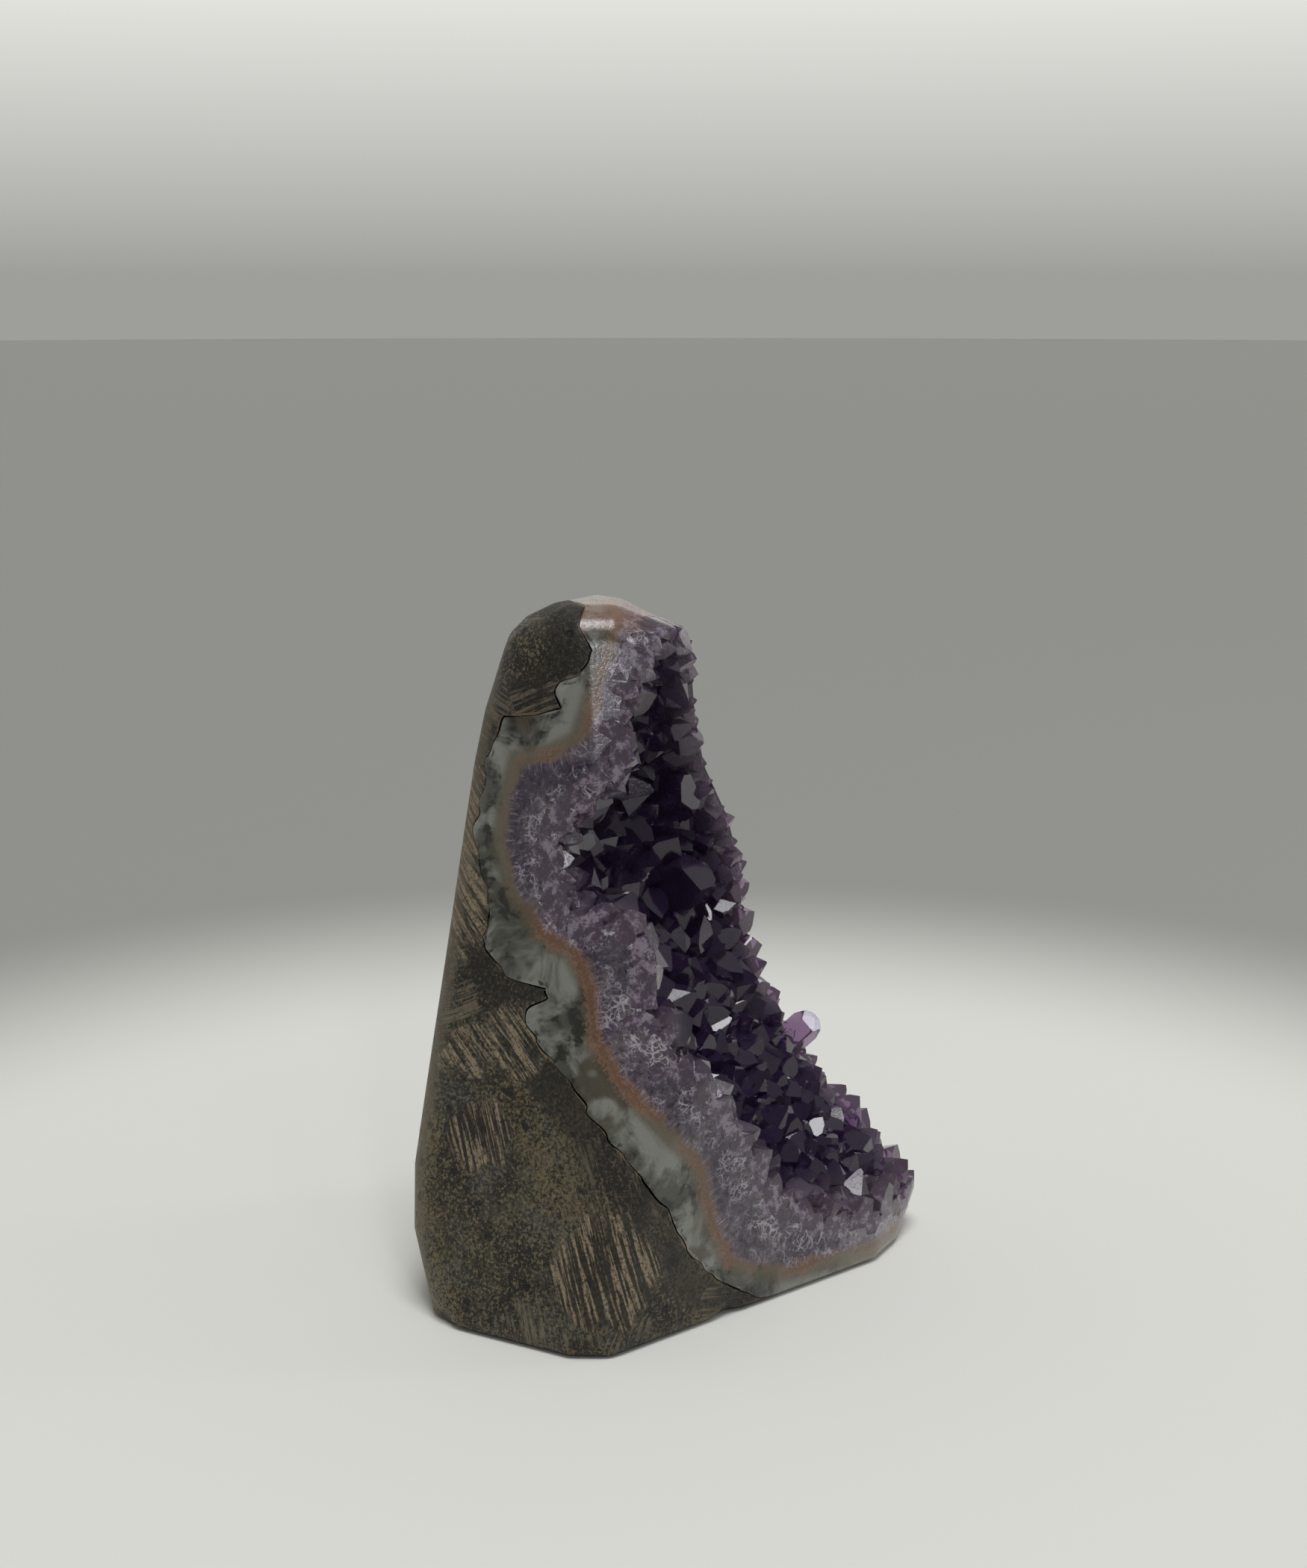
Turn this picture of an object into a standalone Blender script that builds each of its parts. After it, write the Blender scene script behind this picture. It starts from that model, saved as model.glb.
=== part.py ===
"""Amethyst geode that stands on a sawn base.

The stone is ground flat facet after facet, so the outside is a block cut by named planes with
soft edges. Two bowl-shaped surfaces part it into host rock, agate rind and crystal crust. The
hollow faces -Y, +Z is up, and the origin is the centre of the base.
"""
import math
import random

import bmesh
import bpy
from mathutils import Matrix, Vector

MM = 0.001

# Driving dimensions in millimetres
BLOCK_SIDE = 300.0
EDGE_ROUND = 7.0
BASE_ROUND = 2.2
BASE_BAND = 0.5
EDGE_PASSES = 2
SHORTEST_EDGE = 0.15
LAYER_GAP = 0.3
CRUST_BASE = 2.0
CUTTER_FRONT = -90.0
CENTRE_X = 3.41
CENTRE_Y = 1.56

# Ground facets: outward normal and distance of the plane from the foot of the specimen
FACETS = {
    "base": ((0.0, 0.0, -1.0), 0.0),
    "left": ((-0.955, -0.174, 0.24), 38.4),
    "corner": ((-0.776, -0.631, 0.06), 36.9),
    "shoulder": ((-0.62, -0.72, 0.31), 37.5),
    "front": ((-0.165, -0.986, 0.0), 22.6),
    "front_right": ((0.207, -0.978, 0.0), 31.1),
    "toe_end": ((0.80, -0.60, 0.0), 46.6),
    "right": ((0.93, -0.10, 0.36), 44.5),
    "top": ((0.22, -0.04, 0.97), 106.0),
    "top_left": ((-0.50, 0.25, 0.83), 99.2),
    "top_back": ((-0.05, 0.45, 0.89), 106.5),
    "heel": ((-0.62, 0.738, -0.265), 35.6),
    "back_left_low": ((-0.643, 0.766, 0.0), 40.3),
    "back_left": ((-0.636, 0.757, 0.151), 43.2),
    "back_left_top": ((-0.61, 0.73, 0.31), 56.6),
    "back": ((0.0, 1.0, 0.055), 30.0),
    "back_right": ((0.70, 0.70, 0.20), 47.0),
}

# Bowl levels: height, left edge x and y, deepest x and y, and y where the right facet cuts it
HOLLOW_LEVELS = (
    (-6.0, 20.0, -40.0, 24.0, -38.0, -30.0),
    (5.0, 20.0, -29.0, 24.0, -28.0, -17.0),
    (10.0, 8.0, -24.5, 18.0, -23.0, -13.0),
    (15.0, -0.5, -22.8, 10.0, -18.0, -8.0),
    (22.0, -4.0, -22.2, 7.0, -11.5, -2.0),
    (30.0, -8.5, -21.6, 6.0, -4.5, 3.0),
    (39.0, -14.7, -20.5, 5.0, 1.5, 6.5),
    (47.0, -18.7, -15.9, 5.0, 5.0, 7.0),
    (56.0, -18.6, -12.0, 5.0, 8.0, 6.0),
    (64.0, -21.5, -5.0, 5.0, 10.5, 3.5),
    (73.0, -22.8, 3.0, 4.0, 12.5, 3.5),
    (82.0, -19.0, 1.0, 3.0, 12.5, 6.0),
    (91.0, -13.1, -1.7, 3.0, 9.0, 5.0),
    (101.0, -8.2, -1.6, 3.0, 4.0, 2.5),
    (109.0, -1.5, -4.0, 2.5, 0.0, 1.0),
    (120.0, 0.0, -9.0, 4.0, -5.0, -4.0),
)
CONTACT_LEVELS = (
    (-6.0, 8.0, -29.0, 20.0, -26.0, -15.0),
    (0.0, 2.0, -23.3, 18.0, -19.0, -10.0),
    (5.0, -9.6, -21.3, 12.0, -13.5, -6.5),
    (9.0, -14.6, -20.5, 10.0, -9.5, -4.0),
    (14.4, -18.6, -19.8, 8.0, -6.0, -0.5),
    (21.9, -22.6, -19.1, 6.0, -1.0, 5.0),
    (30.1, -27.5, -15.5, 5.0, 4.5, 10.0),
    (35.8, -29.3, -10.7, 5.0, 8.0, 13.0),
    (41.8, -29.0, -4.1, 5.0, 11.0, 15.0),
    (49.9, -28.5, 3.5, 5.0, 14.0, 15.5),
    (57.0, -28.0, 10.5, 5.0, 16.5, 15.0),
    (65.0, -26.4, 13.7, 5.0, 18.5, 14.0),
    (75.8, -24.7, 18.5, 4.0, 20.0, 14.0),
    (86.0, -22.0, 18.2, 3.0, 20.0, 15.5),
    (93.4, -20.0, 16.5, 3.0, 18.5, 15.5),
    (96.0, -17.2, 7.5, 3.0, 16.5, 16.0),
    (101.0, -15.0, 4.6, 3.0, 15.5, 17.5),
    (106.0, -12.9, 5.0, 3.0, 17.0, 22.0),
    (111.0, -8.0, 11.0, 3.0, 20.5, 27.0),
    (120.0, -2.0, 20.0, 6.0, 28.0, 36.0),
)
WALL_POWER = 2.2
OUTSIDE_RUN = 0.6
NARROWEST_WALL = 3.0
SLOPE_STEP = 1.5
SHEET_X = (-70.0, 75.0, 25)
SHEET_Z_STEP = 5.2

# Crystals: share of the radii that two feet stay apart, radii, and pyramid height over radius
CROWDING = 0.66
CRYSTAL_TRIES = 16000
CRYSTAL_X = (-30.0, 50.0)
CRYSTAL_Z = (2.0, 112.0)
RADIUS_FINE = (2.8, 3.5)
RADIUS_COARSE = (3.5, 4.7)
COARSE_FROM = 44.0
COARSE_TO = 92.0
PYRAMID_RATIO = 1.10
STEM_BELOW = 3.2
STEM_ABOVE = (0.6, 2.6)
TIP_DRIFT = 0.22
TILT_SPREAD = 0.34
RIM_MARGIN = 1.5
SIDES = 6
SEED = 41

# Named larger crystals: foot x and height, prism radius, stem, lean to the right and upward
LARGE_CRYSTALS = (
    (33.5, 29.5, 3.4, 6.0, 0.55, 0.35),
    (13.0, 62.0, 5.6, 4.0, -0.20, -0.10),
    (13.0, 77.0, 4.6, 3.2, -0.10, 0.10),
    (10.0, 96.0, 4.4, 3.4, 0.20, -0.05),
    (6.0, 47.0, 4.6, 3.0, -0.25, 0.20),
    (36.0, 17.0, 4.0, 3.6, 0.25, 0.40),
)

# Pits left by gas bubbles in the host rock: turn round the stone in degrees, height, radius
PITS = (
    (176.0, 15.0, 1.6),
    (170.0, 31.0, 1.1),
    (192.0, 10.0, 1.3),
    (226.0, 13.0, 1.2),
    (172.0, 44.0, 1.3),
    (158.0, 63.0, 0.9),
    (165.0, 100.0, 1.1),
    (72.0, 60.0, 2.6),
    (104.0, 36.0, 2.0),
    (40.0, 30.0, 2.2),
    (96.0, 80.0, 1.7),
    (20.0, 22.0, 1.8),
    (62.0, 14.0, 1.6),
    (120.0, 22.0, 2.4),
    (82.0, 96.0, 1.3),
)
PIT_SINK = 0.35

# Chips broken out of the sawn edge of the base: turn in degrees, height, radius
CHIPS = (
    (168.0, 0.0, 2.8),
    (142.0, 0.0, 3.4),
    (248.0, 0.0, 2.6),
    (60.0, 0.0, 3.6),
)
CHIP_SINK = -0.35
SPINE_Y = 3.0

ROCK_COLOUR = (0.075, 0.066, 0.048, 1.0)
AGATE_COLOUR = (0.30, 0.31, 0.29, 1.0)
AMETHYST_COLOUR = (0.085, 0.035, 0.125, 1.0)


def clear_objects():
    """Remove whatever the file holds."""
    for item in list(bpy.data.objects):
        bpy.data.objects.remove(item, do_unlink=True)


def finish(name, colour, roughness):
    """Make a Principled material with one colour and roughness."""
    material = bpy.data.materials.new(name)
    material.use_nodes = True
    shader = material.node_tree.nodes["Principled BSDF"]
    shader.inputs["Base Color"].default_value = colour
    shader.inputs["Roughness"].default_value = roughness
    shader.inputs["Metallic"].default_value = 0.0
    material.diffuse_color = colour
    return material


def add_object(name, bm, material=None):
    """Turn a bmesh in millimetres round the foot into an object centred on the base."""
    bmesh.ops.translate(bm, vec=Vector((-CENTRE_X, -CENTRE_Y, 0.0)), verts=bm.verts)
    bmesh.ops.scale(bm, vec=Vector((MM, MM, MM)), verts=bm.verts)
    bmesh.ops.recalc_face_normals(bm, faces=bm.faces)
    mesh = bpy.data.meshes.new(name)
    bm.to_mesh(mesh)
    bm.free()
    if material:
        mesh.materials.append(material)
    item = bpy.data.objects.new(name, mesh)
    bpy.context.scene.collection.objects.link(item)
    return item


def as_cutter(item):
    """Show an object as a wire guide that is left out of the model."""
    item.hide_render = True
    item.display_type = "WIRE"
    return item


def add_boolean(item, other, operation, overlaps=False):
    """Add an exact Boolean modifier."""
    cut = item.modifiers.new(operation.lower(), "BOOLEAN")
    cut.operation = operation
    cut.object = other
    cut.solver = "EXACT"
    cut.use_self = overlaps


def soften_edges(bm):
    """Cut every edge with the plane that touches a rolling ball between its two faces.

    Done twice, it rounds the edge with three narrow facets, wide where the faces meet sharply.
    """
    planes = []
    for edge in bm.edges:
        first, second = (face.normal for face in edge.link_faces)
        middle = (first + second).normalized()
        at_base = all(vert.co.z < BASE_BAND for vert in edge.verts)
        radius = BASE_ROUND if at_base else EDGE_ROUND
        sink = radius * (1.0 / math.cos(first.angle(second) / 2.0) - 1.0)
        planes.append((edge.verts[0].co - middle * sink, middle))
    for point, normal in planes:
        cut_by_plane(bm, point, normal)


def cut_by_plane(bm, point, normal):
    """Cut off all that lies outside a plane and close the cut."""
    everything = bm.verts[:] + bm.edges[:] + bm.faces[:]
    cut = bmesh.ops.bisect_plane(
        bm, geom=everything, plane_co=point, plane_no=normal, clear_outer=True)
    rim = [part for part in cut["geom_cut"] if isinstance(part, bmesh.types.BMEdge)]
    if rim:
        bmesh.ops.contextual_create(bm, geom=rim)
    bm.normal_update()


def ground_block(name, material=None):
    """Grind a block to the named facets, one after another, and wear its edges."""
    bm = bmesh.new()
    bmesh.ops.create_cube(bm, size=BLOCK_SIDE)
    for normal, distance in FACETS.values():
        normal = Vector(normal)
        cut_by_plane(bm, normal * (distance / normal.length_squared), normal)
    for _ in range(EDGE_PASSES):
        soften_edges(bm)
    bmesh.ops.dissolve_degenerate(bm, dist=SHORTEST_EDGE, edges=bm.edges)
    return add_object(name, bm, material)


def right_facet_x(y, z):
    """Give the x of the right facet at a depth and height."""
    normal, distance = FACETS["right"]
    return (distance - normal[1] * y - normal[2] * z) / normal[0]


def level_at(levels, z):
    """Interpolate a bowl's level between the two nearest heights."""
    low = max((row for row in levels if row[0] <= z), default=levels[0])
    high = min((row for row in levels if row[0] > z), default=levels[-1])
    if high[0] <= low[0]:
        return low[1:]
    share = (z - low[0]) / (high[0] - low[0])
    share = min(max(share, 0.0), 1.0)
    return tuple(a + (b - a) * share for a, b in zip(low[1:], high[1:]))


def bowl_y(levels, x, z):
    """Depth of a bowl: steep at both edges, flat at its deepest point."""
    left_x, left_y, deep_x, deep_y, right_y = level_at(levels, z)
    if x < deep_x:
        away = min((deep_x - x) / (deep_x - left_x), 1.0 + OUTSIDE_RUN)
        return deep_y + (left_y - deep_y) * away ** WALL_POWER
    wall_x = max(right_facet_x(right_y, z), deep_x + NARROWEST_WALL)
    away = (x - deep_x) / (wall_x - deep_x)
    away = min(away, 1.0 + OUTSIDE_RUN)
    return deep_y + (right_y - deep_y) * away ** WALL_POWER


def bowl_point(levels, x, z):
    """Point of a bowl as a vector."""
    return Vector((x, bowl_y(levels, x, z), z))


def bowl_normal(levels, x, z):
    """Unit normal of a bowl, on the side of the hollow."""
    step = SLOPE_STEP
    along = bowl_point(levels, x + step, z) - bowl_point(levels, x - step, z)
    upward = bowl_point(levels, x, z + step) - bowl_point(levels, x, z - step)
    return along.cross(upward).normalized()


def sheet_rows(levels, forward):
    """Rows of points over a bowl, each moved forward along the normal."""
    first_x, last_x, count = SHEET_X
    low, high = levels[0][0], levels[-1][0]
    steps = round((high - low) / SHEET_Z_STEP)
    rows = []
    for level in range(steps + 1):
        z = low + (high - low) * level / steps
        row = []
        for column in range(count):
            x = first_x + (last_x - first_x) * column / (count - 1)
            point = bowl_point(levels, x, z)
            row.append(point + bowl_normal(levels, x, z) * forward)
        rows.append(row)
    return rows


def solid_between(name, back_rows, front_rows):
    """Close two grids of the same size into one solid."""
    bm = bmesh.new()
    sheets = []
    for rows in (back_rows, front_rows):
        sheets.append([[bm.verts.new(point) for point in row] for row in rows])
    height = len(back_rows)
    width = len(back_rows[0])
    for verts in sheets:
        for level in range(height - 1):
            for column in range(width - 1):
                below, above = verts[level], verts[level + 1]
                bm.faces.new((below[column], below[column + 1], above[column + 1]))
                bm.faces.new((below[column], above[column + 1], above[column]))
    back, front = sheets
    border = [(0, column) for column in range(width - 1)]
    border += [(level, width - 1) for level in range(height - 1)]
    border += [(height - 1, column) for column in range(width - 1, 0, -1)]
    border += [(level, 0) for level in range(height - 1, 0, -1)]
    for here, there in zip(border, border[1:] + border[:1]):
        bm.faces.new((back[here[0]][here[1]], back[there[0]][there[1]],
                      front[there[0]][there[1]], front[here[0]][here[1]]))
    return add_object(name, bm)


def space_before(name, levels, forward=0.0):
    """Solid of all the space in front of a bowl."""
    back = sheet_rows(levels, forward)
    front = [[Vector((point.x, CUTTER_FRONT, point.z)) for point in row] for row in back]
    return as_cutter(solid_between(name, back, front))


def inside_ground(point, margin):
    """Tell whether a point lies inside every facet by a margin."""
    for normal, distance in FACETS.values():
        normal = Vector(normal)
        if normal.dot(point) / normal.length > distance / normal.length - margin:
            return False
    return True


def crystal(bm, foot, axis, radius, stem, rng):
    """Add a six-sided prism with a pyramid, its foot under the crust."""
    turn = Vector((0.0, 0.0, 1.0)).rotation_difference(axis).to_matrix().to_4x4()
    spin = Matrix.Rotation(rng.uniform(0.0, math.tau), 4, "Z")
    place = Matrix.Translation(foot) @ turn @ spin
    tip_height = stem + radius * PYRAMID_RATIO
    drift = Vector((rng.uniform(-TIP_DRIFT, TIP_DRIFT), rng.uniform(-TIP_DRIFT, TIP_DRIFT), 0.0))
    bottom = []
    shoulder = []
    for side in range(SIDES):
        angle = math.tau * side / SIDES
        ring = Vector((math.cos(angle), math.sin(angle), 0.0)) * radius
        bottom.append(bm.verts.new(place @ (ring - Vector((0.0, 0.0, STEM_BELOW)))))
        shoulder.append(bm.verts.new(place @ (ring + Vector((0.0, 0.0, stem)))))
    tip = bm.verts.new(place @ (drift * radius + Vector((0.0, 0.0, tip_height))))
    bm.faces.new(bottom[::-1])
    for side in range(SIDES):
        after = (side + 1) % SIDES
        bm.faces.new((bottom[side], bottom[after], shoulder[after], shoulder[side]))
        bm.faces.new((shoulder[side], shoulder[after], tip))


def crystal_sites(rng):
    """Scatter the feet of the crystals over the hollow, none too close to another."""
    sites = []
    for foot_x, foot_z, radius, stem, right, up in LARGE_CRYSTALS:
        foot = bowl_point(HOLLOW_LEVELS, foot_x, foot_z)
        lean = Vector((right, 0.0, up))
        axis = (bowl_normal(HOLLOW_LEVELS, foot_x, foot_z) + lean).normalized()
        sites.append((foot, axis, radius, stem))
    for _ in range(CRYSTAL_TRIES):
        x = rng.uniform(*CRYSTAL_X)
        z = rng.uniform(*CRYSTAL_Z)
        foot = bowl_point(HOLLOW_LEVELS, x, z)
        if not inside_ground(foot, RIM_MARGIN):
            continue
        radii = RADIUS_COARSE if COARSE_FROM < z < COARSE_TO else RADIUS_FINE
        radius = rng.uniform(*radii)
        near = min((foot - other[0]).length - CROWDING * other[2] for other in sites)
        if near < CROWDING * radius:
            continue
        stem = rng.uniform(*STEM_ABOVE)
        lean = Vector([rng.uniform(-TILT_SPREAD, TILT_SPREAD) for _ in range(3)])
        axis = (bowl_normal(HOLLOW_LEVELS, x, z) + lean).normalized()
        sites.append((foot, axis, radius, stem))
    return sites


def ground_surface(turn, z):
    """Point where a level line from the spine leaves the ground facets."""
    start = Vector((0.0, SPINE_Y, z))
    way = Vector((math.cos(math.radians(turn)), math.sin(math.radians(turn)), 0.0))
    reach = BLOCK_SIDE
    for normal, distance in FACETS.values():
        normal = Vector(normal)
        slope = normal.dot(way)
        if slope > 0.0:
            reach = min(reach, (distance - normal.dot(start)) / slope)
    return start + way * reach, way


def rough_hollows(name, places, sink):
    """Low round lumps on the surface that are cut out of the rock as pits or chips."""
    bm = bmesh.new()
    for turn, z, radius in places:
        place, way = ground_surface(turn, z)
        centre = place - way * (radius * sink)
        bmesh.ops.create_icosphere(
            bm, subdivisions=1, radius=radius, matrix=Matrix.Translation(centre))
    return as_cutter(add_object(name, bm))


def build_basalt():
    """Host rock: the ground block behind the agate, with pits and a chipped base edge."""
    rock = ground_block("basalt_matrix", finish("ground_basalt", ROCK_COLOUR, 0.55))
    add_boolean(rock, space_before("before_contact", CONTACT_LEVELS), "DIFFERENCE")
    add_boolean(rock, rough_hollows("bubble_pits", PITS, PIT_SINK), "DIFFERENCE")
    add_boolean(rock, rough_hollows("edge_chips", CHIPS, CHIP_SINK), "DIFFERENCE")
    return rock


def build_rind(hollow):
    """Layered lining between the host rock and the crystals."""
    rind = ground_block("agate_rind", finish("polished_agate", AGATE_COLOUR, 0.2))
    before = space_before("before_contact_gap", CONTACT_LEVELS, LAYER_GAP)
    add_boolean(rind, before, "INTERSECT")
    add_boolean(rind, hollow, "DIFFERENCE")
    return rind


def build_crust():
    """Crystals of the hollow, grown together on a thin sheet and ground off at the rim."""
    rng = random.Random(SEED)
    crust = solid_between(
        "amethyst_crust",
        sheet_rows(HOLLOW_LEVELS, -CRUST_BASE),
        sheet_rows(HOLLOW_LEVELS, CRUST_BASE))
    bm = bmesh.new()
    for foot, axis, radius, stem in crystal_sites(rng):
        crystal(bm, foot, axis, radius, stem, rng)
    points = as_cutter(add_object("crystal_points", bm))
    crust.data.materials.append(finish("amethyst", AMETHYST_COLOUR, 0.12))
    add_boolean(crust, points, "UNION", overlaps=True)
    add_boolean(crust, as_cutter(ground_block("ground_envelope")), "INTERSECT")
    before = space_before("hollow_gap", HOLLOW_LEVELS, LAYER_GAP)
    add_boolean(crust, before, "INTERSECT")
    return crust


def main():
    """Build the host rock, the rind and the crust."""
    clear_objects()
    build_basalt()
    build_rind(space_before("hollow", HOLLOW_LEVELS))
    build_crust()


main()
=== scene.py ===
"""Looks of the amethyst geode: ground basalt, a polished agate rind and a crust of crystals.

The stone is worked out in millimetres round its foot, as the solids are, and moved to the
middle of its base when a mesh is made. +Z is up and the hollow faces -Y. Sizes are in
millimetres, and a turn is an angle round the stone from +X.
"""
import logging
import math
from dataclasses import dataclass
from enum import Enum
from typing import Any

import bpy
import numpy as np
from mathutils import Matrix


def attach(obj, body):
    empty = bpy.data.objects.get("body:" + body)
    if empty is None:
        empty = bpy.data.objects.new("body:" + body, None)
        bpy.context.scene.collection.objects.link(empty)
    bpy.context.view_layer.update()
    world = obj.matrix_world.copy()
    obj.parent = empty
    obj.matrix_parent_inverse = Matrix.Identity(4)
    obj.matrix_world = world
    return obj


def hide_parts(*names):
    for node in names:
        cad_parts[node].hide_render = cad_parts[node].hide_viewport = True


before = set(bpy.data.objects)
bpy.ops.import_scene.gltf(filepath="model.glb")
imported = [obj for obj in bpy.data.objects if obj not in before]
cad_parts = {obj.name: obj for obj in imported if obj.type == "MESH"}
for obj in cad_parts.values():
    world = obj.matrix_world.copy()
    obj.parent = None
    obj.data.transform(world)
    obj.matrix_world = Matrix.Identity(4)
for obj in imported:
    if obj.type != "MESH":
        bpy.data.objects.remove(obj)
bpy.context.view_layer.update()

LOG = logging.getLogger("geode")
Array = np.ndarray
Socket = bpy.types.NodeSocket
Tree = bpy.types.NodeTree

MM = 0.001
RIDES_ON = "root"

# Middle of the solids' base, and the upright line inside the stone, both from the foot
MIDDLE = np.array((3.41, 1.56, 0.0))
SPINE = np.array((0.0, 3.0))

# Settings of nodes that come up often
SMOOTH = {"interpolation_type": "SMOOTHSTEP"}
COLOURS = {"data_type": "RGBA"}

# Points that are set against a curve at once, so that the table of distances stays small
NEAREST_CHUNK = 4000

# Corners of one crystal: bottom, stem's top, small faces' feet, ridges and tip
CRYSTAL_CORNERS = 22

# Fewest and most crests that a wave has in the length asked for
WAVE_SPREAD = (0.6, 1.5)

# Ground facets: outward normal and distance of the plane from the foot of the specimen
FACETS = {
    "base": ((0.0, 0.0, -1.0), 0.0),
    "left": ((-0.955, -0.174, 0.24), 38.4),
    "corner": ((-0.776, -0.631, 0.06), 36.9),
    "shoulder": ((-0.62, -0.72, 0.31), 37.5),
    "front": ((-0.165, -0.986, 0.0), 22.6),
    "front_right": ((0.207, -0.978, 0.0), 31.1),
    "toe_end": ((0.80, -0.60, 0.0), 46.6),
    "toe_under": ((0.62, -0.45, -0.64), 32.4),
    "right": ((0.93, -0.10, 0.36), 44.5),
    "right_foot": ((1.0, 0.0, 0.0), 48.0),
    "top": ((0.233, -0.278, 0.931), 100.6),
    "crown": ((0.0, 0.0, 1.0), 111.15),
    "top_left": ((-0.50, 0.25, 0.83), 100.5),
    "top_back": ((-0.05, 0.45, 0.89), 106.5),
    "heel": ((-0.62, 0.738, -0.265), 35.6),
    "back_left_low": ((-0.643, 0.766, 0.0), 40.3),
    "back_left": ((-0.636, 0.757, 0.151), 43.2),
    "back_left_top": ((-0.61, 0.73, 0.31), 56.6),
    "back": ((0.0, 1.0, 0.055), 30.0),
    "back_right": ((0.70, 0.70, 0.20), 47.0),
}

# Bowl levels: height, deepest x and y, and y where the right facet cuts it
HOLLOW_LEVELS = (
    (-6.0, 24.0, -38.0, -30.0), (5.0, 24.0, -28.0, -17.0), (10.0, 18.0, -23.0, -13.0),
    (15.0, 10.0, -18.0, -8.0), (22.0, 7.0, -11.5, -2.0), (30.0, 6.0, -4.5, 3.0),
    (39.0, 5.0, 1.5, 6.5), (47.0, 5.0, 5.0, 7.0), (56.0, 5.0, 8.0, 6.0),
    (64.0, 5.0, 10.5, 3.5), (73.0, 4.0, 12.5, 3.5), (82.0, 3.0, 12.5, 6.0),
    (91.0, 3.0, 9.0, 5.0), (101.0, 3.0, 4.0, 2.5), (109.0, 2.5, 0.0, 1.0),
    (120.0, 4.0, -5.0, -4.0),
)
CONTACT_LEVELS = (
    (-6.0, 20.0, -26.0, -15.0), (0.0, 18.0, -19.0, -10.0), (5.0, 12.0, -13.5, -6.5),
    (9.0, 10.0, -9.5, -4.0), (14.4, 8.0, -6.0, -0.5), (21.9, 6.0, -1.0, 5.0),
    (30.1, 5.0, 4.5, 10.0), (35.8, 5.0, 8.0, 13.0), (41.8, 5.0, 11.0, 15.0),
    (49.9, 5.0, 14.0, 15.5), (57.0, 5.0, 16.5, 15.0), (65.0, 5.0, 18.5, 14.0),
    (75.8, 4.0, 20.0, 14.0), (86.0, 3.0, 20.0, 15.5), (93.4, 3.0, 18.5, 15.5),
    (96.0, 3.0, 16.5, 16.0), (101.0, 3.0, 15.5, 17.5), (106.0, 3.0, 17.0, 22.0),
    (111.0, 3.0, 20.5, 27.0), (120.0, 6.0, 28.0, 36.0),
)

# Levels of the iron band at the foot, where it is no share of the others
BAND_FOOT_LEVELS = (
    (-6.0, 24.0, -42.0, -32.0), (2.4, 24.0, -28.0, -19.0), (4.2, 22.0, -24.0, -15.0),
)

# The iron band lies at this share of the way from the contact to the hollow
BAND_SHARE = 0.45

# A bowl's wall rises along this power of the way out, up to a way out past its edge
WALL_POWER = 2.2
OUTSIDE_RUN = 1.6
NARROWEST_WALL = 3.0

# Left edges of the layers where the polished side cuts them: height, x and y
CONTACT_EDGE = (
    (-6.0, 14.0, -29.0), (-2.6, 12.9, -25.1), (-1.6, 2.3, -23.3), (5.3, -9.6, -21.3),
    (9.4, -14.6, -20.5), (14.4, -18.6, -19.8), (21.9, -22.6, -19.1), (30.1, -27.5, -15.5),
    (35.8, -29.3, -10.7), (41.8, -29.0, -4.1), (45.6, -29.0, 1.6), (49.9, -28.5, 4.8),
    (52.3, -27.2, 0.7), (54.0, -27.0, 1.7), (54.4, -28.1, 8.2), (56.8, -28.0, 11.5),
    (60.0, -27.7, 14.3), (64.4, -26.5, 13.7), (71.3, -25.4, 16.9), (75.8, -24.7, 19.5),
    (83.2, -22.7, 18.7), (90.0, -20.9, 18.1), (93.7, -19.8, 17.0), (94.7, -18.2, 10.0),
    (95.9, -17.3, 6.3), (99.7, -16.6, 7.8), (101.1, -15.0, 4.3), (104.8, -12.7, 3.9),
    (108.3, -13.1, 6.3), (111.0, -8.0, 11.0), (120.0, -2.0, 20.0),
)
BAND_EDGE = (
    (-6.0, 20.0, -44.0), (2.4, 20.0, -28.5), (4.2, 2.2, -23.3), (9.3, -9.6, -21.3),
    (16.8, -13.0, -20.7), (28.0, -16.3, -20.2), (34.3, -21.8, -18.5), (40.2, -24.9, -13.3),
    (47.2, -26.8, -8.6), (55.1, -25.2, -6.4), (59.9, -24.8, -2.1), (62.0, -25.3, 3.9),
    (67.3, -25.1, 9.9), (74.1, -24.0, 13.3), (80.1, -22.6, 13.7), (87.4, -20.6, 13.0),
    (88.6, -19.3, 7.5), (91.4, -17.6, 2.4), (96.6, -14.9, 2.3), (102.4, -12.1, 2.4),
    (109.4, -8.4, 2.3), (120.0, -2.0, 4.0),
)
HOLLOW_EDGE = (
    (-6.0, 20.0, -40.0), (5.0, 20.0, -29.0), (10.0, 8.0, -24.5), (14.7, -0.5, -22.8),
    (26.8, -6.5, -21.8), (39.1, -14.7, -20.5), (42.2, -19.4, -17.2), (46.7, -18.7, -15.9),
    (50.4, -21.5, -11.9), (52.5, -19.5, -12.7), (59.9, -17.2, -11.5), (63.0, -20.1, -7.6),
    (64.9, -23.9, 0.2), (72.7, -22.8, 4.5), (78.8, -21.0, 3.5), (83.8, -17.6, -0.8),
    (88.9, -12.2, -3.3), (90.7, -13.1, -1.7), (96.5, -12.1, -1.0), (102.2, -9.6, -1.2),
    (108.0, -5.0, -2.6), (120.0, 0.0, -9.0),
)

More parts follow.
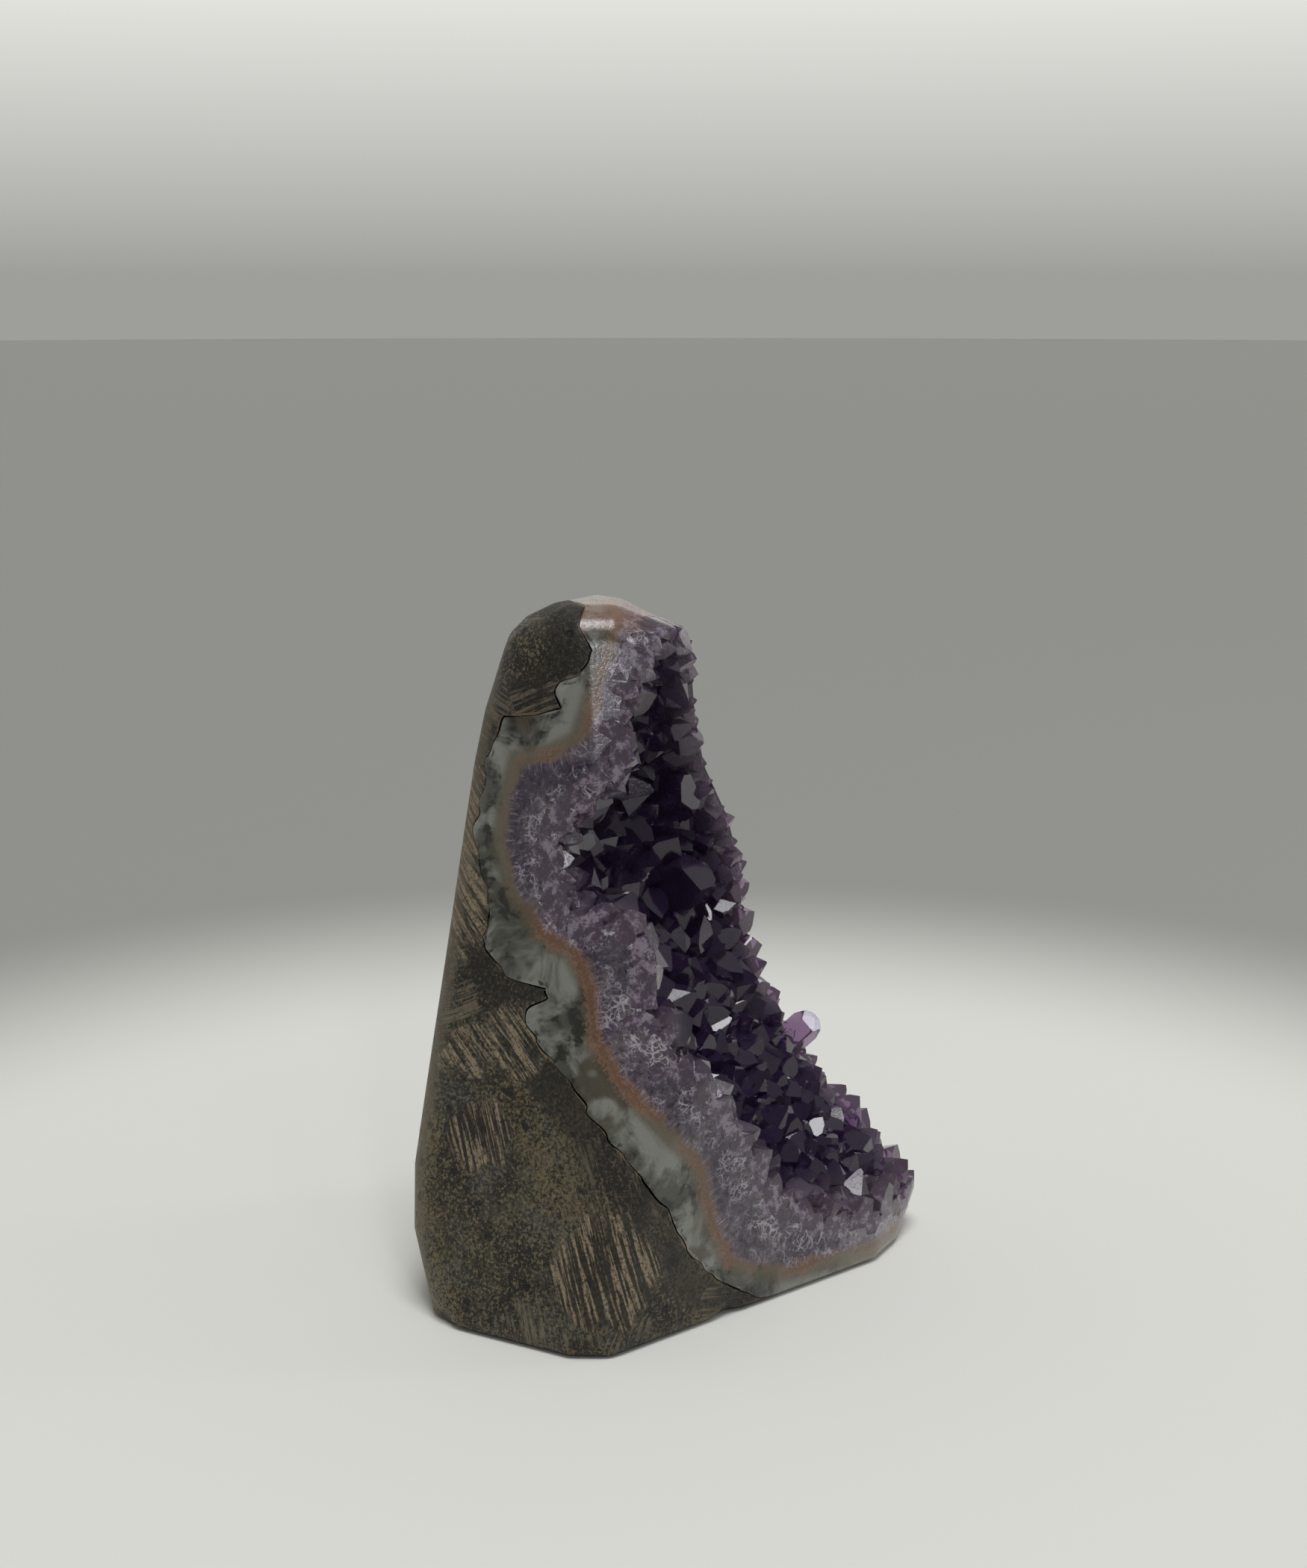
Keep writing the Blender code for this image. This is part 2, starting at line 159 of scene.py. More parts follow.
# Hollows left by gas bubbles and chips of the sawn edge: turn in degrees, height, radius, depth
PITS = (
    (176.0, 15.0, 2.2, 0.8), (170.0, 31.0, 1.6, 0.6), (192.0, 10.0, 1.9, 0.7),
    (226.0, 13.0, 1.8, 0.6), (172.0, 44.0, 1.9, 0.7), (158.0, 63.0, 1.4, 0.6),
    (165.0, 100.0, 1.6, 0.6), (72.0, 60.0, 3.4, 1.6), (104.0, 36.0, 2.7, 1.2),
    (40.0, 30.0, 3.0, 1.2), (96.0, 80.0, 2.3, 1.0), (20.0, 22.0, 2.5, 1.1),
    (62.0, 14.0, 2.2, 1.0), (120.0, 22.0, 3.2, 1.5), (82.0, 96.0, 1.9, 0.8),
    (168.0, 0.0, 4.0, 1.3), (142.0, 0.0, 4.6, 1.7), (248.0, 0.0, 3.8, 1.2),
    (60.0, 0.0, 5.0, 1.8),
)

# Facets painted paler: they show as a strip down the left side
PALER_FACETS = ("back_left", "back_left_low")

# Patches where the coarse wheel left its marks: turn in degrees, height, radius
UPRIGHT_MARKS = ((210.0, 13.5, 10.0), (170.0, 30.0, 6.5), (100.0, 50.0, 20.0), (60.0, 90.0, 12.0))
SLANTING_MARKS = ((161.0, 42.0, 5.0), (176.0, 46.0, 7.0), (130.0, 70.0, 20.0),
                  (40.0, 60.0, 16.0))

# Larger crystals: foot x and height, radius, stem, lean to the right and upward
LARGE_CRYSTALS = (
    (33.0, 29.5, 2.9, 5.6, 0.50, 0.45),
    (13.0, 62.0, 5.6, 4.0, -0.20, -0.10),
    (13.0, 77.0, 4.6, 3.2, -0.10, 0.10),
    (6.5, 96.0, 3.8, 1.8, 0.05, -0.05),
    (6.0, 47.0, 4.6, 3.0, -0.25, 0.20),
    (36.0, 17.0, 3.4, 2.4, 0.15, 0.40),
)


def linear(code: str) -> tuple[float, float, float, float]:
    """Turn an sRGB hex colour to linear light.

    Args:
        code: Colour as rrggbb.

    Returns:
        Red, green, blue and an opaque alpha.
    """
    channels = [int(code[start:start + 2], 16) / 255.0 for start in (0, 2, 4)]
    light = [c / 12.92 if c <= 0.04045 else ((c + 0.055) / 1.055) ** 2.4 for c in channels]
    return (light[0], light[1], light[2], 1.0)


def add_node(tree: Tree, kind: str, settings: dict[str, Any], inputs: dict | tuple,
             output: Any = 0) -> Socket:
    """Add a node, set its properties and fill or link its inputs.

    Args:
        tree: Node tree that the node goes into.
        kind: Type of the node without its ShaderNode prefix.
        settings: Properties of the node by name.
        inputs: Values or sockets by the input's name or number, or in the inputs' order.
        output: Name or number of the output wanted.

    Returns:
        That output's socket.
    """
    node = tree.nodes.new("ShaderNode" + kind)
    for name, value in settings.items():
        setattr(node, name, value)
    given = inputs.items() if isinstance(inputs, dict) else enumerate(inputs)
    for name, value in given:
        if isinstance(value, Socket):
            tree.links.new(value, node.inputs[name])
        else:
            node.inputs[name].default_value = value
    return node.outputs[output]


def smooth_step(values: Array, low: float, high: float) -> Array:
    """Rise from 0 at low to 1 at high along 3t^2 - 2t^3, with t the share of the way."""
    share = np.clip((values - low) / (high - low), 0.0, 1.0)
    return share * share * (3.0 - 2.0 * share)


def waves(points: Array, length: float, count: int, seed: int) -> Array:
    """Uneven field from -1 to 1: the mean of sines in seeded directions, of about one length.

    Args:
        points: Places in millimetres.
        length: Distance from crest to crest in millimetres.
        count: How many sines are added.
        seed: Seed of their directions and starts.

    Returns:
        One value for each place.
    """
    rng = np.random.default_rng(seed)
    ways = rng.normal(size=(count, 3))
    ways /= np.linalg.norm(ways, axis=1, keepdims=True)
    ways *= (2.0 * math.pi / length) * rng.uniform(*WAVE_SPREAD, (count, 1))
    return np.sin(points @ ways.T + rng.uniform(0.0, 2.0 * math.pi, count)).mean(axis=-1)


def grid_quads(rows: int, columns: int, closed: bool) -> Array:
    """Corner numbers of the quads of a grid whose points are numbered row by row.

    Args:
        rows: Number of rows.
        columns: Points in a row.
        closed: Whether the last column joins the first.

    Returns:
        Array of four corners a quad, counter-clockwise for columns right and rows up.
    """
    row = np.arange(rows - 1)[:, None]
    column = np.arange(columns if closed else columns - 1)[None, :]
    after = (column + 1) % columns
    corners = (row * columns + column, row * columns + after,
               (row + 1) * columns + after, (row + 1) * columns + column)
    return np.stack(corners, axis=-1).reshape(-1, 4)


def make_object(name: str, points: Array, faces: list) -> bpy.types.Object:
    """Make an object whose place is in its mesh.

    Args:
        name: Name of the object and its mesh.
        points: Places in millimetres round the foot, one a row.
        faces: Corner numbers of each face, counter-clockwise seen from outside.

    Returns:
        The object, at the origin and linked to the scene.
    """
    mesh = bpy.data.meshes.new(name)
    mesh.from_pydata(((points - MIDDLE) * MM).tolist(), [], faces)
    mesh.validate()
    item = bpy.data.objects.new(name, mesh)
    bpy.context.scene.collection.objects.link(item)
    return item


def combine(item: bpy.types.Object, tools: list[tuple[str, bpy.types.Object]]) -> None:
    """Cut or join an object with others, one after another, and keep the result as its mesh.

    Args:
        item: Object that is worked on.
        tools: Operation and object of each step. The objects are deleted afterwards.
    """
    for operation, other in tools:
        cut = item.modifiers.new(operation.lower(), "BOOLEAN")
        cut.operation = operation
        cut.object = other
        cut.solver = "MANIFOLD"
    graph = bpy.context.evaluated_depsgraph_get()
    result = bpy.data.meshes.new_from_object(item.evaluated_get(graph))
    item.modifiers.clear()
    old = item.data
    result.name = old.name
    item.data = result
    bpy.data.meshes.remove(old)
    for _, other in tools:
        bpy.data.objects.remove(other, do_unlink=True)


def stone_points(item: bpy.types.Object) -> Array:
    """Read the vertices of a finished object.

    Args:
        item: Object with its place in its mesh.

    Returns:
        Places in millimetres round the foot, one a row.
    """
    flat = np.empty(len(item.data.vertices) * 3)
    item.data.vertices.foreach_get("co", flat)
    return flat.reshape(-1, 3) / MM + MIDDLE


def keep_field(item: bpy.types.Object, name: str, values: Array) -> None:
    """Store one number, or one vector, for each vertex as a named attribute.

    Args:
        item: Object whose mesh takes the attribute.
        name: Name by which a material reads it.
        values: One number or one vector a vertex.
    """
    is_vector = values.ndim > 1
    kind = "FLOAT_VECTOR" if is_vector else "FLOAT"
    layer = item.data.attributes.new(name, kind, "POINT")
    layer.data.foreach_set("vector" if is_vector else "value", values.astype(np.float32).ravel())


def crossing_points(grid: Array, field: Array) -> Array:
    """Places on a grid of points where a field changes sign, by linear steps along its lines.

    Args:
        grid: Points by row and column.
        field: The field's value at each of them.

    Returns:
        Array of the places found along rows and along columns.
    """
    found = []
    for axis in (0, 1):
        after_points = np.roll(grid, -1, axis=axis)
        after_field = np.roll(field, -1, axis=axis)
        change = field * after_field < 0.0
        if axis == 0:
            change[-1] = False
        share = (field[change] / (field[change] - after_field[change]))[:, None]
        found.append(grid[change] * (1.0 - share) + after_points[change] * share)
    return np.concatenate(found)


def nearest(points: Array, cloud: Array, softness: float = 0.5) -> tuple[Array, Array]:
    """Distance from each point to a cloud, and the softly weighted nearest place in it.

    A place's weight is e to the power (least distance - its distance) / softness.

    Args:
        points: Places asked for.
        cloud: Places along a curve.
        softness: Distance over which neighbours in the cloud share the nearest place.

    Returns:
        Distances and places, as millimetres.
    """
    distances = np.empty(len(points))
    feet = np.empty_like(points)
    for start in range(0, len(points), NEAREST_CHUNK):
        part = points[start:start + NEAREST_CHUNK]
        away = np.linalg.norm(part[:, None, :] - cloud[None, :, :], axis=-1)
        least = away.min(axis=1)
        weight = np.exp((least[:, None] - away) / softness)
        weight /= weight.sum(axis=1, keepdims=True)
        distances[start:start + NEAREST_CHUNK] = least
        feet[start:start + NEAREST_CHUNK] = weight @ cloud
    return distances, feet


@dataclass(frozen=True)
class Bowl:
    """One boundary between layers of the geode, as a depth over width and height.

    Across each level the depth falls from both edges to the deepest point along a power of the
    way out, and between levels every value runs straight. The sheet that cuts the stone is
    also moved along y by waves of two lengths, the second half as long and half as high.
    """
    levels: tuple
    left_edge: tuple
    row_step: float = 0.36
    ragged: float = 0.0
    ragged_length: float = 5.0
    wave_count: int = 9
    broad_seed: int = 31
    fine_seed: int = 37
    outer_x: tuple = (-70.0, 75.0)
    ways_out: tuple = (0.2, 0.4, 0.55, 0.7, 0.8, 0.88, 0.94, 1.0, 1.06, 1.13, 1.22, 1.35, 1.6)
    front_y: float = -90.0

    def level(self, z: Array) -> tuple[Array, ...]:
        """Read the bowl's outline, straight between the levels.

        Args:
            z: Heights asked for.

        Returns:
            Left edge x and y, deepest x and y, and right edge x and y at each height.
        """
        table = np.array(self.levels)
        edge = np.array(self.left_edge)
        deep_x, deep_y, right_y = (np.interp(z, table[:, 0], table[:, k]) for k in (1, 2, 3))
        left_x, left_y = (np.interp(z, edge[:, 0], edge[:, k]) for k in (1, 2))
        left_x = np.minimum(left_x, deep_x - NARROWEST_WALL)
        normal, distance = FACETS["right"]
        right_x = (distance - normal[1] * right_y - normal[2] * z) / normal[0]
        return left_x, left_y, deep_x, deep_y, np.maximum(right_x, deep_x + NARROWEST_WALL), right_y

    def depth(self, x: Array, z: Array) -> Array:
        """Y of the boundary: deepest y plus the edge's difference times way out to a power.

        Args:
            x: Places across.
            z: Heights of the same shape.

        Returns:
            One y for each place.
        """
        left_x, left_y, deep_x, deep_y, right_x, right_y = self.level(z)
        is_left = x < deep_x
        span = np.where(is_left, deep_x - left_x, right_x - deep_x)
        way_out = np.minimum(np.abs(x - deep_x) / span, OUTSIDE_RUN)
        return deep_y + (np.where(is_left, left_y, right_y) - deep_y) * way_out ** WALL_POWER

    def normal(self, x: Array, z: Array, step: float = 1.5) -> Array:
        """Unit normal on the hollow's side, along (slope in x, -1, slope in z).

        Args:
            x: Places across.
            z: Heights of the same shape.
            step: Distance to each side over which the slope is taken.

        Returns:
            One unit vector for each place.
        """
        slope_x = (self.depth(x + step, z) - self.depth(x - step, z)) / (2.0 * step)
        slope_z = (self.depth(x, z + step) - self.depth(x, z - step)) / (2.0 * step)
        normal = np.stack((slope_x, -np.ones_like(slope_x), slope_z), axis=-1)
        return normal / np.linalg.norm(normal, axis=-1, keepdims=True)

    def sheet(self) -> Array:
        """Lay the boundary out as a grid that runs past the stone on every side.

        Returns:
            Points by row and column: a height for each row, and in a column the same share of
            the way from the deepest point to an edge.
        """
        low, high = self.levels[0][0], self.levels[-1][0]
        z = np.linspace(low, high, round((high - low) / self.row_step))[:, None]
        left_x, _, deep_x, _, right_x, _ = self.level(z)
        out = np.array(self.ways_out)[None, :]
        first = np.full_like(z, self.outer_x[0])
        last = np.full_like(z, self.outer_x[1])
        leftward = deep_x - (deep_x - left_x) * out[:, ::-1]
        rightward = deep_x + (right_x - deep_x) * out
        x = np.concatenate((first, leftward, deep_x, rightward, last), axis=1)
        z = np.broadcast_to(z, x.shape)
        points = np.stack((x, self.depth(x, z), z), axis=-1)
        broad = waves(points, self.ragged_length, self.wave_count, self.broad_seed)
        fine = waves(points, self.ragged_length / 2.0, self.wave_count, self.fine_seed)
        points[..., 1] += self.ragged * (broad + fine / 2.0)
        return points

    def moved_sheet(self, forward: Array | float) -> Array:
        """Move the sheet towards the hollow: each point plus its unit normal times a distance.

        Args:
            forward: Distance in millimetres, one for all points or one for each.

        Returns:
            Points by row and column.
        """
        points = self.sheet()
        along = np.gradient(points, axis=1)
        upward = np.gradient(points, axis=0)
        normal = np.cross(along, upward)
        normal /= np.linalg.norm(normal, axis=-1, keepdims=True)
        return points + normal * np.broadcast_to(forward, points.shape[:2])[..., None]

    def space_before(self, name: str, forward: Array | float = 0.0) -> bpy.types.Object:
        """Make a solid of all the space before the boundary.

        Args:
            name: Name of the object.
            forward: Distance by which the boundary is moved towards the hollow first.

        Returns:
            The object, a tool to cut with.
        """
        back = self.moved_sheet(forward)
        front = back.copy()
        front[..., 1] = self.front_y
        return solid_between(name, back, front)


def solid_between(name: str, back: Array, front: Array) -> bpy.types.Object:
    """Close two grids of the same size into one solid, the front one nearer to -Y.

    Args:
        name: Name of the object.
        back: Grid of points, x rising with the column and z with the row.
        front: Grid of points before it.

    Returns:
        The object.
    """
    rows, columns = back.shape[:2]
    quads = grid_quads(rows, columns, closed=False)
    count = rows * columns
    number = np.arange(count).reshape(rows, columns)
    border = np.concatenate((number[0, :-1], number[:-1, -1], number[-1, :0:-1], number[:0:-1, 0]))
    after = np.roll(border, -1)
    walls = np.stack((border + count, after + count, after, border), axis=1)
    faces = np.concatenate((quads[:, ::-1], quads + count, walls[:, ::-1]))
    points = np.concatenate((back.reshape(-1, 3), front.reshape(-1, 3)))
    return make_object(name, points, faces.tolist())


@dataclass
class GroundStone:
    """Worn outside of the whole stone, ground to the named facets."""
    edge_round: float = 8.5
    base_round: float = 2.2
    turns: int = 420
    side_rows: int = 146
    base_rows: int = 7
    base_rows_reach: float = 1.1
    fan_height: float = 88.0
    fan_rows: int = 62
    halvings: int = 20
    least_slope: float = 1e-6
    unevenness: float = 0.16
    unevenness_length: float = 26.0
    reference_height: float = 14.0
    lowest_row: float = 0.02
    lowest_pit: float = 0.1
    wave_count: int = 9
    wave_seed: int = 5
    cap_rings: tuple = (0.66, 0.33)
    pushed: tuple = ()
    inset: float = 0.0

    def __post_init__(self) -> None:
        """Work out the unit normals, distances and the rounding between every two facets."""
        push = dict(self.pushed)
        normals = np.array([normal for normal, _ in FACETS.values()])
        lengths = np.linalg.norm(normals, axis=1)
        self.normals = normals / lengths[:, None]
        given = np.array([distance for _, distance in FACETS.values()]) / lengths
        pushes = np.array([push.get(name, 0.0) for name in FACETS])
        self.distances = given + pushes - self.inset
        self.pairs = []
        for first in range(len(lengths)):
            for second in range(first + 1, len(lengths)):
                radius = self.base_round if first == 0 else self.edge_round
                width = radius * (1.0 - float(self.normals[first] @ self.normals[second]))
                self.pairs.append((first, second, width))

    def outside(self, points: Array) -> Array:
        """Signed distance to the ground surface before its wear, negative inside.

        It is the largest, over every two facets, of the greater plane distance plus
        (width - difference)^2 / (4 width), where the width is the edge's radius times one
        less the cosine between the facets. That is close to a round edge of that radius.

        Args:
            points: Places in millimetres, their three numbers along the last axis.

        Returns:
            One distance for each place.
        """
        away = points @ self.normals.T - self.distances
        result = away.max(axis=-1)
        for first, second, width in self.pairs:
            one, other = away[..., first], away[..., second]
            rise = np.clip(width - np.abs(one - other), 0.0, None) ** 2 / (4.0 * width)
            np.maximum(result, np.maximum(one, other) + rise, out=result)
        return result

    def surface(self, start: Array, way: Array) -> Array:
        """Points where rays from inside leave the ground surface, found by halving.

        A ray starts with the nearest facet it meets, and its stretch is halved until the
        rounding between facets is met too.

        Args:
            start: Points inside the stone.
            way: Unit directions.

        Returns:
            One point for each ray.
        """
        slope = way @ self.normals.T
        room = self.distances - start @ self.normals.T
        steep = np.maximum(slope, self.least_slope)
        reach = np.where(slope > self.least_slope, room / steep, np.inf).min(axis=-1)
        low, high = np.zeros_like(reach), reach
        for _ in range(self.halvings):
            middle = (low + high) / 2.0
            is_in = self.outside(start + way * middle[..., None]) < 0.0
            low = np.where(is_in, middle, low)
            high = np.where(is_in, high, middle)
        return start + way * high[..., None]

    def level_points(self, turns: Array, z: Array) -> Array:
        """Points of the ground surface at turns round the spine, on level lines.

        Args:
            turns: Angles from +X in radians.
            z: Heights that go with them.

        Returns:
            One point for each pair of turn and height.
        """
        turns, z = np.broadcast_arrays(turns, z)
        start = np.stack((np.full(z.shape, SPINE[0]), np.full(z.shape, SPINE[1]), z), axis=-1)
        way = np.stack((np.cos(turns), np.sin(turns), np.zeros(z.shape)), axis=-1)
        return self.surface(start, way)

    def even_turns(self) -> Array:
        """Turns that part the outline at the reference height into equal lengths.

        Returns:
            The angles in radians.
        """
        fine = np.linspace(0.0, 2.0 * math.pi, 4 * self.turns + 1)
        outline = self.level_points(fine, np.full(fine.shape, self.reference_height))
        lengths = np.linalg.norm(np.diff(outline, axis=0), axis=1)
        travelled = np.concatenate(([0.0], np.cumsum(lengths)))
        wanted = np.linspace(0.0, travelled[-1], self.turns + 1)[:-1]
        return np.interp(wanted, travelled, fine)

    def grid(self) -> Array:
        """Lay out the surface: level lines up the side, then a fan of rays over the top.

        Returns:
            Points by row, from the base upwards, and by turn.
        """
        turns = self.even_turns()[None, :]
        low_top = self.base_round * self.base_rows_reach
        low = np.linspace(self.lowest_row, low_top, self.base_rows)
        step = (self.fan_height - low[-1]) / self.side_rows
        heights = np.concatenate((low, np.linspace(low[-1] + step, self.fan_height, self.side_rows)))
        sides = self.level_points(turns, heights[:, None])
        rise = np.linspace(0.0, math.pi / 2.0, self.fan_rows + 1)[1:-1][:, None]
        shape = (len(rise), turns.shape[1])
        start = np.broadcast_to((SPINE[0], SPINE[1], self.fan_height), shape + (3,))
        way = np.stack((np.cos(rise) * np.cos(turns), np.cos(rise) * np.sin(turns),
                        np.broadcast_to(np.sin(rise), shape)), axis=-1)
        return np.concatenate((sides, self.surface(start, way)))

    def wear(self, points: Array) -> Array:
        """Depth worn off: a low unevenness plus round hollows.

        A hollow's depth falls off by (1 - q^2)^2, where q is the share of the way from its
        middle to its edge.

        Args:
            points: Places on the surface.

        Returns:
            One depth in millimetres for each place.
        """
        swell = waves(points, self.unevenness_length, self.wave_count, self.wave_seed)
        depth = self.unevenness * (1.0 + swell) / 2.0
        for centre, radius, sink in self.hollow_places():
            share = np.linalg.norm(points - centre, axis=-1) / radius
            depth = depth + sink * np.clip(1.0 - share ** 2, 0.0, None) ** 2
        return depth

    def hollow_places(self) -> list[tuple[Array, float, float]]:
        """Place each pit and chip on the surface.

        Returns:
            Centre, radius and depth of each.
        """
        places = []
        for turn, z, radius, sink in PITS:
            height = max(z, self.lowest_pit)
            spot = self.level_points(np.array([math.radians(turn)]), np.array([height]))[0]
            places.append((spot, radius, sink))
        return places

    def solid(self, name: str, worn_grid: Array) -> bpy.types.Object:
        """Close a worn grid with rings and a middle point below and a middle point above.

        Args:
            name: Name of the object.
            worn_grid: Points by row and turn, as worn_grid() gives them.

        Returns:
            The object, with its base flat at height 0.
        """
        rows, columns = worn_grid.shape[:2]
        first = worn_grid[0].copy()
        first[:, 2] = 0.0
        centre = np.array((SPINE[0], SPINE[1], 0.0))
        rings = [centre + (first - centre) * share for share in (1.0,) + self.cap_rings]
        top = self.surface(np.array([[SPINE[0], SPINE[1], self.fan_height]]),
                           np.array([[0.0, 0.0, 1.0]]))
        body = np.concatenate((np.stack(rings[::-1]), worn_grid))
        rows += len(rings)
        points = np.concatenate((body.reshape(-1, 3), centre[None, :], top))
        quads = grid_quads(rows, columns, closed=True).tolist()
        count = rows * columns
        ring = np.arange(columns)
        after = (ring + 1) % columns
        low_cap = np.stack((np.full(columns, count), after, ring), axis=1)
        last = (rows - 1) * columns
        high_cap = np.stack((np.full(columns, count + 1), last + ring, last + after), axis=1)
        return make_object(name, points, quads + low_cap.tolist() + high_cap.tolist())

    def worn_grid(self) -> Array:
        """Press the grid of surface points in towards the spine by its wear.

        Returns:
            Points by row and turn.
        """
        grid = self.grid()
        inward = np.array((SPINE[0], SPINE[1], 0.0)) - grid
        inward[..., 2] = np.minimum(self.fan_height - grid[..., 2], 0.0)
        inward /= np.linalg.norm(inward, axis=-1, keepdims=True)
        return grid + inward * self.wear(grid)[..., None]


class Layer(Enum):
    """Boundaries between the layers, from the host rock inwards."""
    CONTACT = "contact"
    BAND = "band"
    HOLLOW = "hollow"


def band_levels() -> tuple:
    """Levels of the iron band: its own at the foot, else a share of the way inwards.

    Above the foot every value is (1 - share) times the contact's plus share times the hollow's.

    Returns:
        Levels as a bowl takes them.
    """
    outer, inner = np.array(CONTACT_LEVELS), np.array(HOLLOW_LEVELS)
    heights = outer[:, 0]
    columns = [np.interp(heights, inner[:, 0], inner[:, k]) for k in range(1, 4)]
    mixed = outer[:, 1:] * (1.0 - BAND_SHARE) + np.stack(columns, axis=1) * BAND_SHARE
    above = heights > BAND_FOOT_LEVELS[-1][0]
    return BAND_FOOT_LEVELS + tuple(map(tuple, np.column_stack((heights, mixed))[above]))


BOWLS = {
    Layer.CONTACT: Bowl(CONTACT_LEVELS, CONTACT_EDGE, ragged=1.4, ragged_length=5.5),
    Layer.BAND: Bowl(band_levels(), BAND_EDGE),
    Layer.HOLLOW: Bowl(HOLLOW_LEVELS, HOLLOW_EDGE),
}


def principled(name: str) -> tuple[bpy.types.Material, Tree, bpy.types.Node]:
    """Make a material of nodes.

    Args:
        name: Name of the material.

    Returns:
        The material, its node tree and its Principled shader.
    """
    material = bpy.data.materials.new(name)
    material.use_nodes = True
    tree = material.node_tree
    return material, tree, tree.nodes["Principled BSDF"]


def fill_shader(tree: Tree, shader: bpy.types.Node, inputs: dict[str, Any]) -> None:
    """Link sockets to a shader, or set its values.

    Args:
        tree: Node tree of the material.
        shader: Its Principled shader.
        inputs: Values or sockets by the input's name.
    """
    for name, value in inputs.items():
        if isinstance(value, Socket):
            tree.links.new(value, shader.inputs[name])
        else:
            shader.inputs[name].default_value = value


def per_mm(width: float) -> float:
    """Scale of a pattern whose cells are a width in millimetres across."""
    return 1.0 / (width * MM)


def layer_over(tree: Tree, under: Any, colour: str, cover: Socket, span: tuple[float, float],
               strength: float = 1.0) -> Socket:
    """Lay a colour over another where a value passes through a span.

    The share is the strength times 3t^2 - 2t^3, where t is the value's way through the span.

    Args:
        tree: Node tree of the material.
        under: Colour that it lies on.
        colour: Colour as rrggbb.
        cover: Value that says where it lies.
        span: Values of cover at which it starts and is full.
        strength: Share of the colour where it is full.

    Returns:
        The colour of both.
    """
    share = add_node(tree, "MapRange", SMOOTH, (cover, span[0], span[1], 0.0, strength))
    return add_node(tree, "Mix", COLOURS, {0: share, 6: under, 7: linear(colour)}, 2)


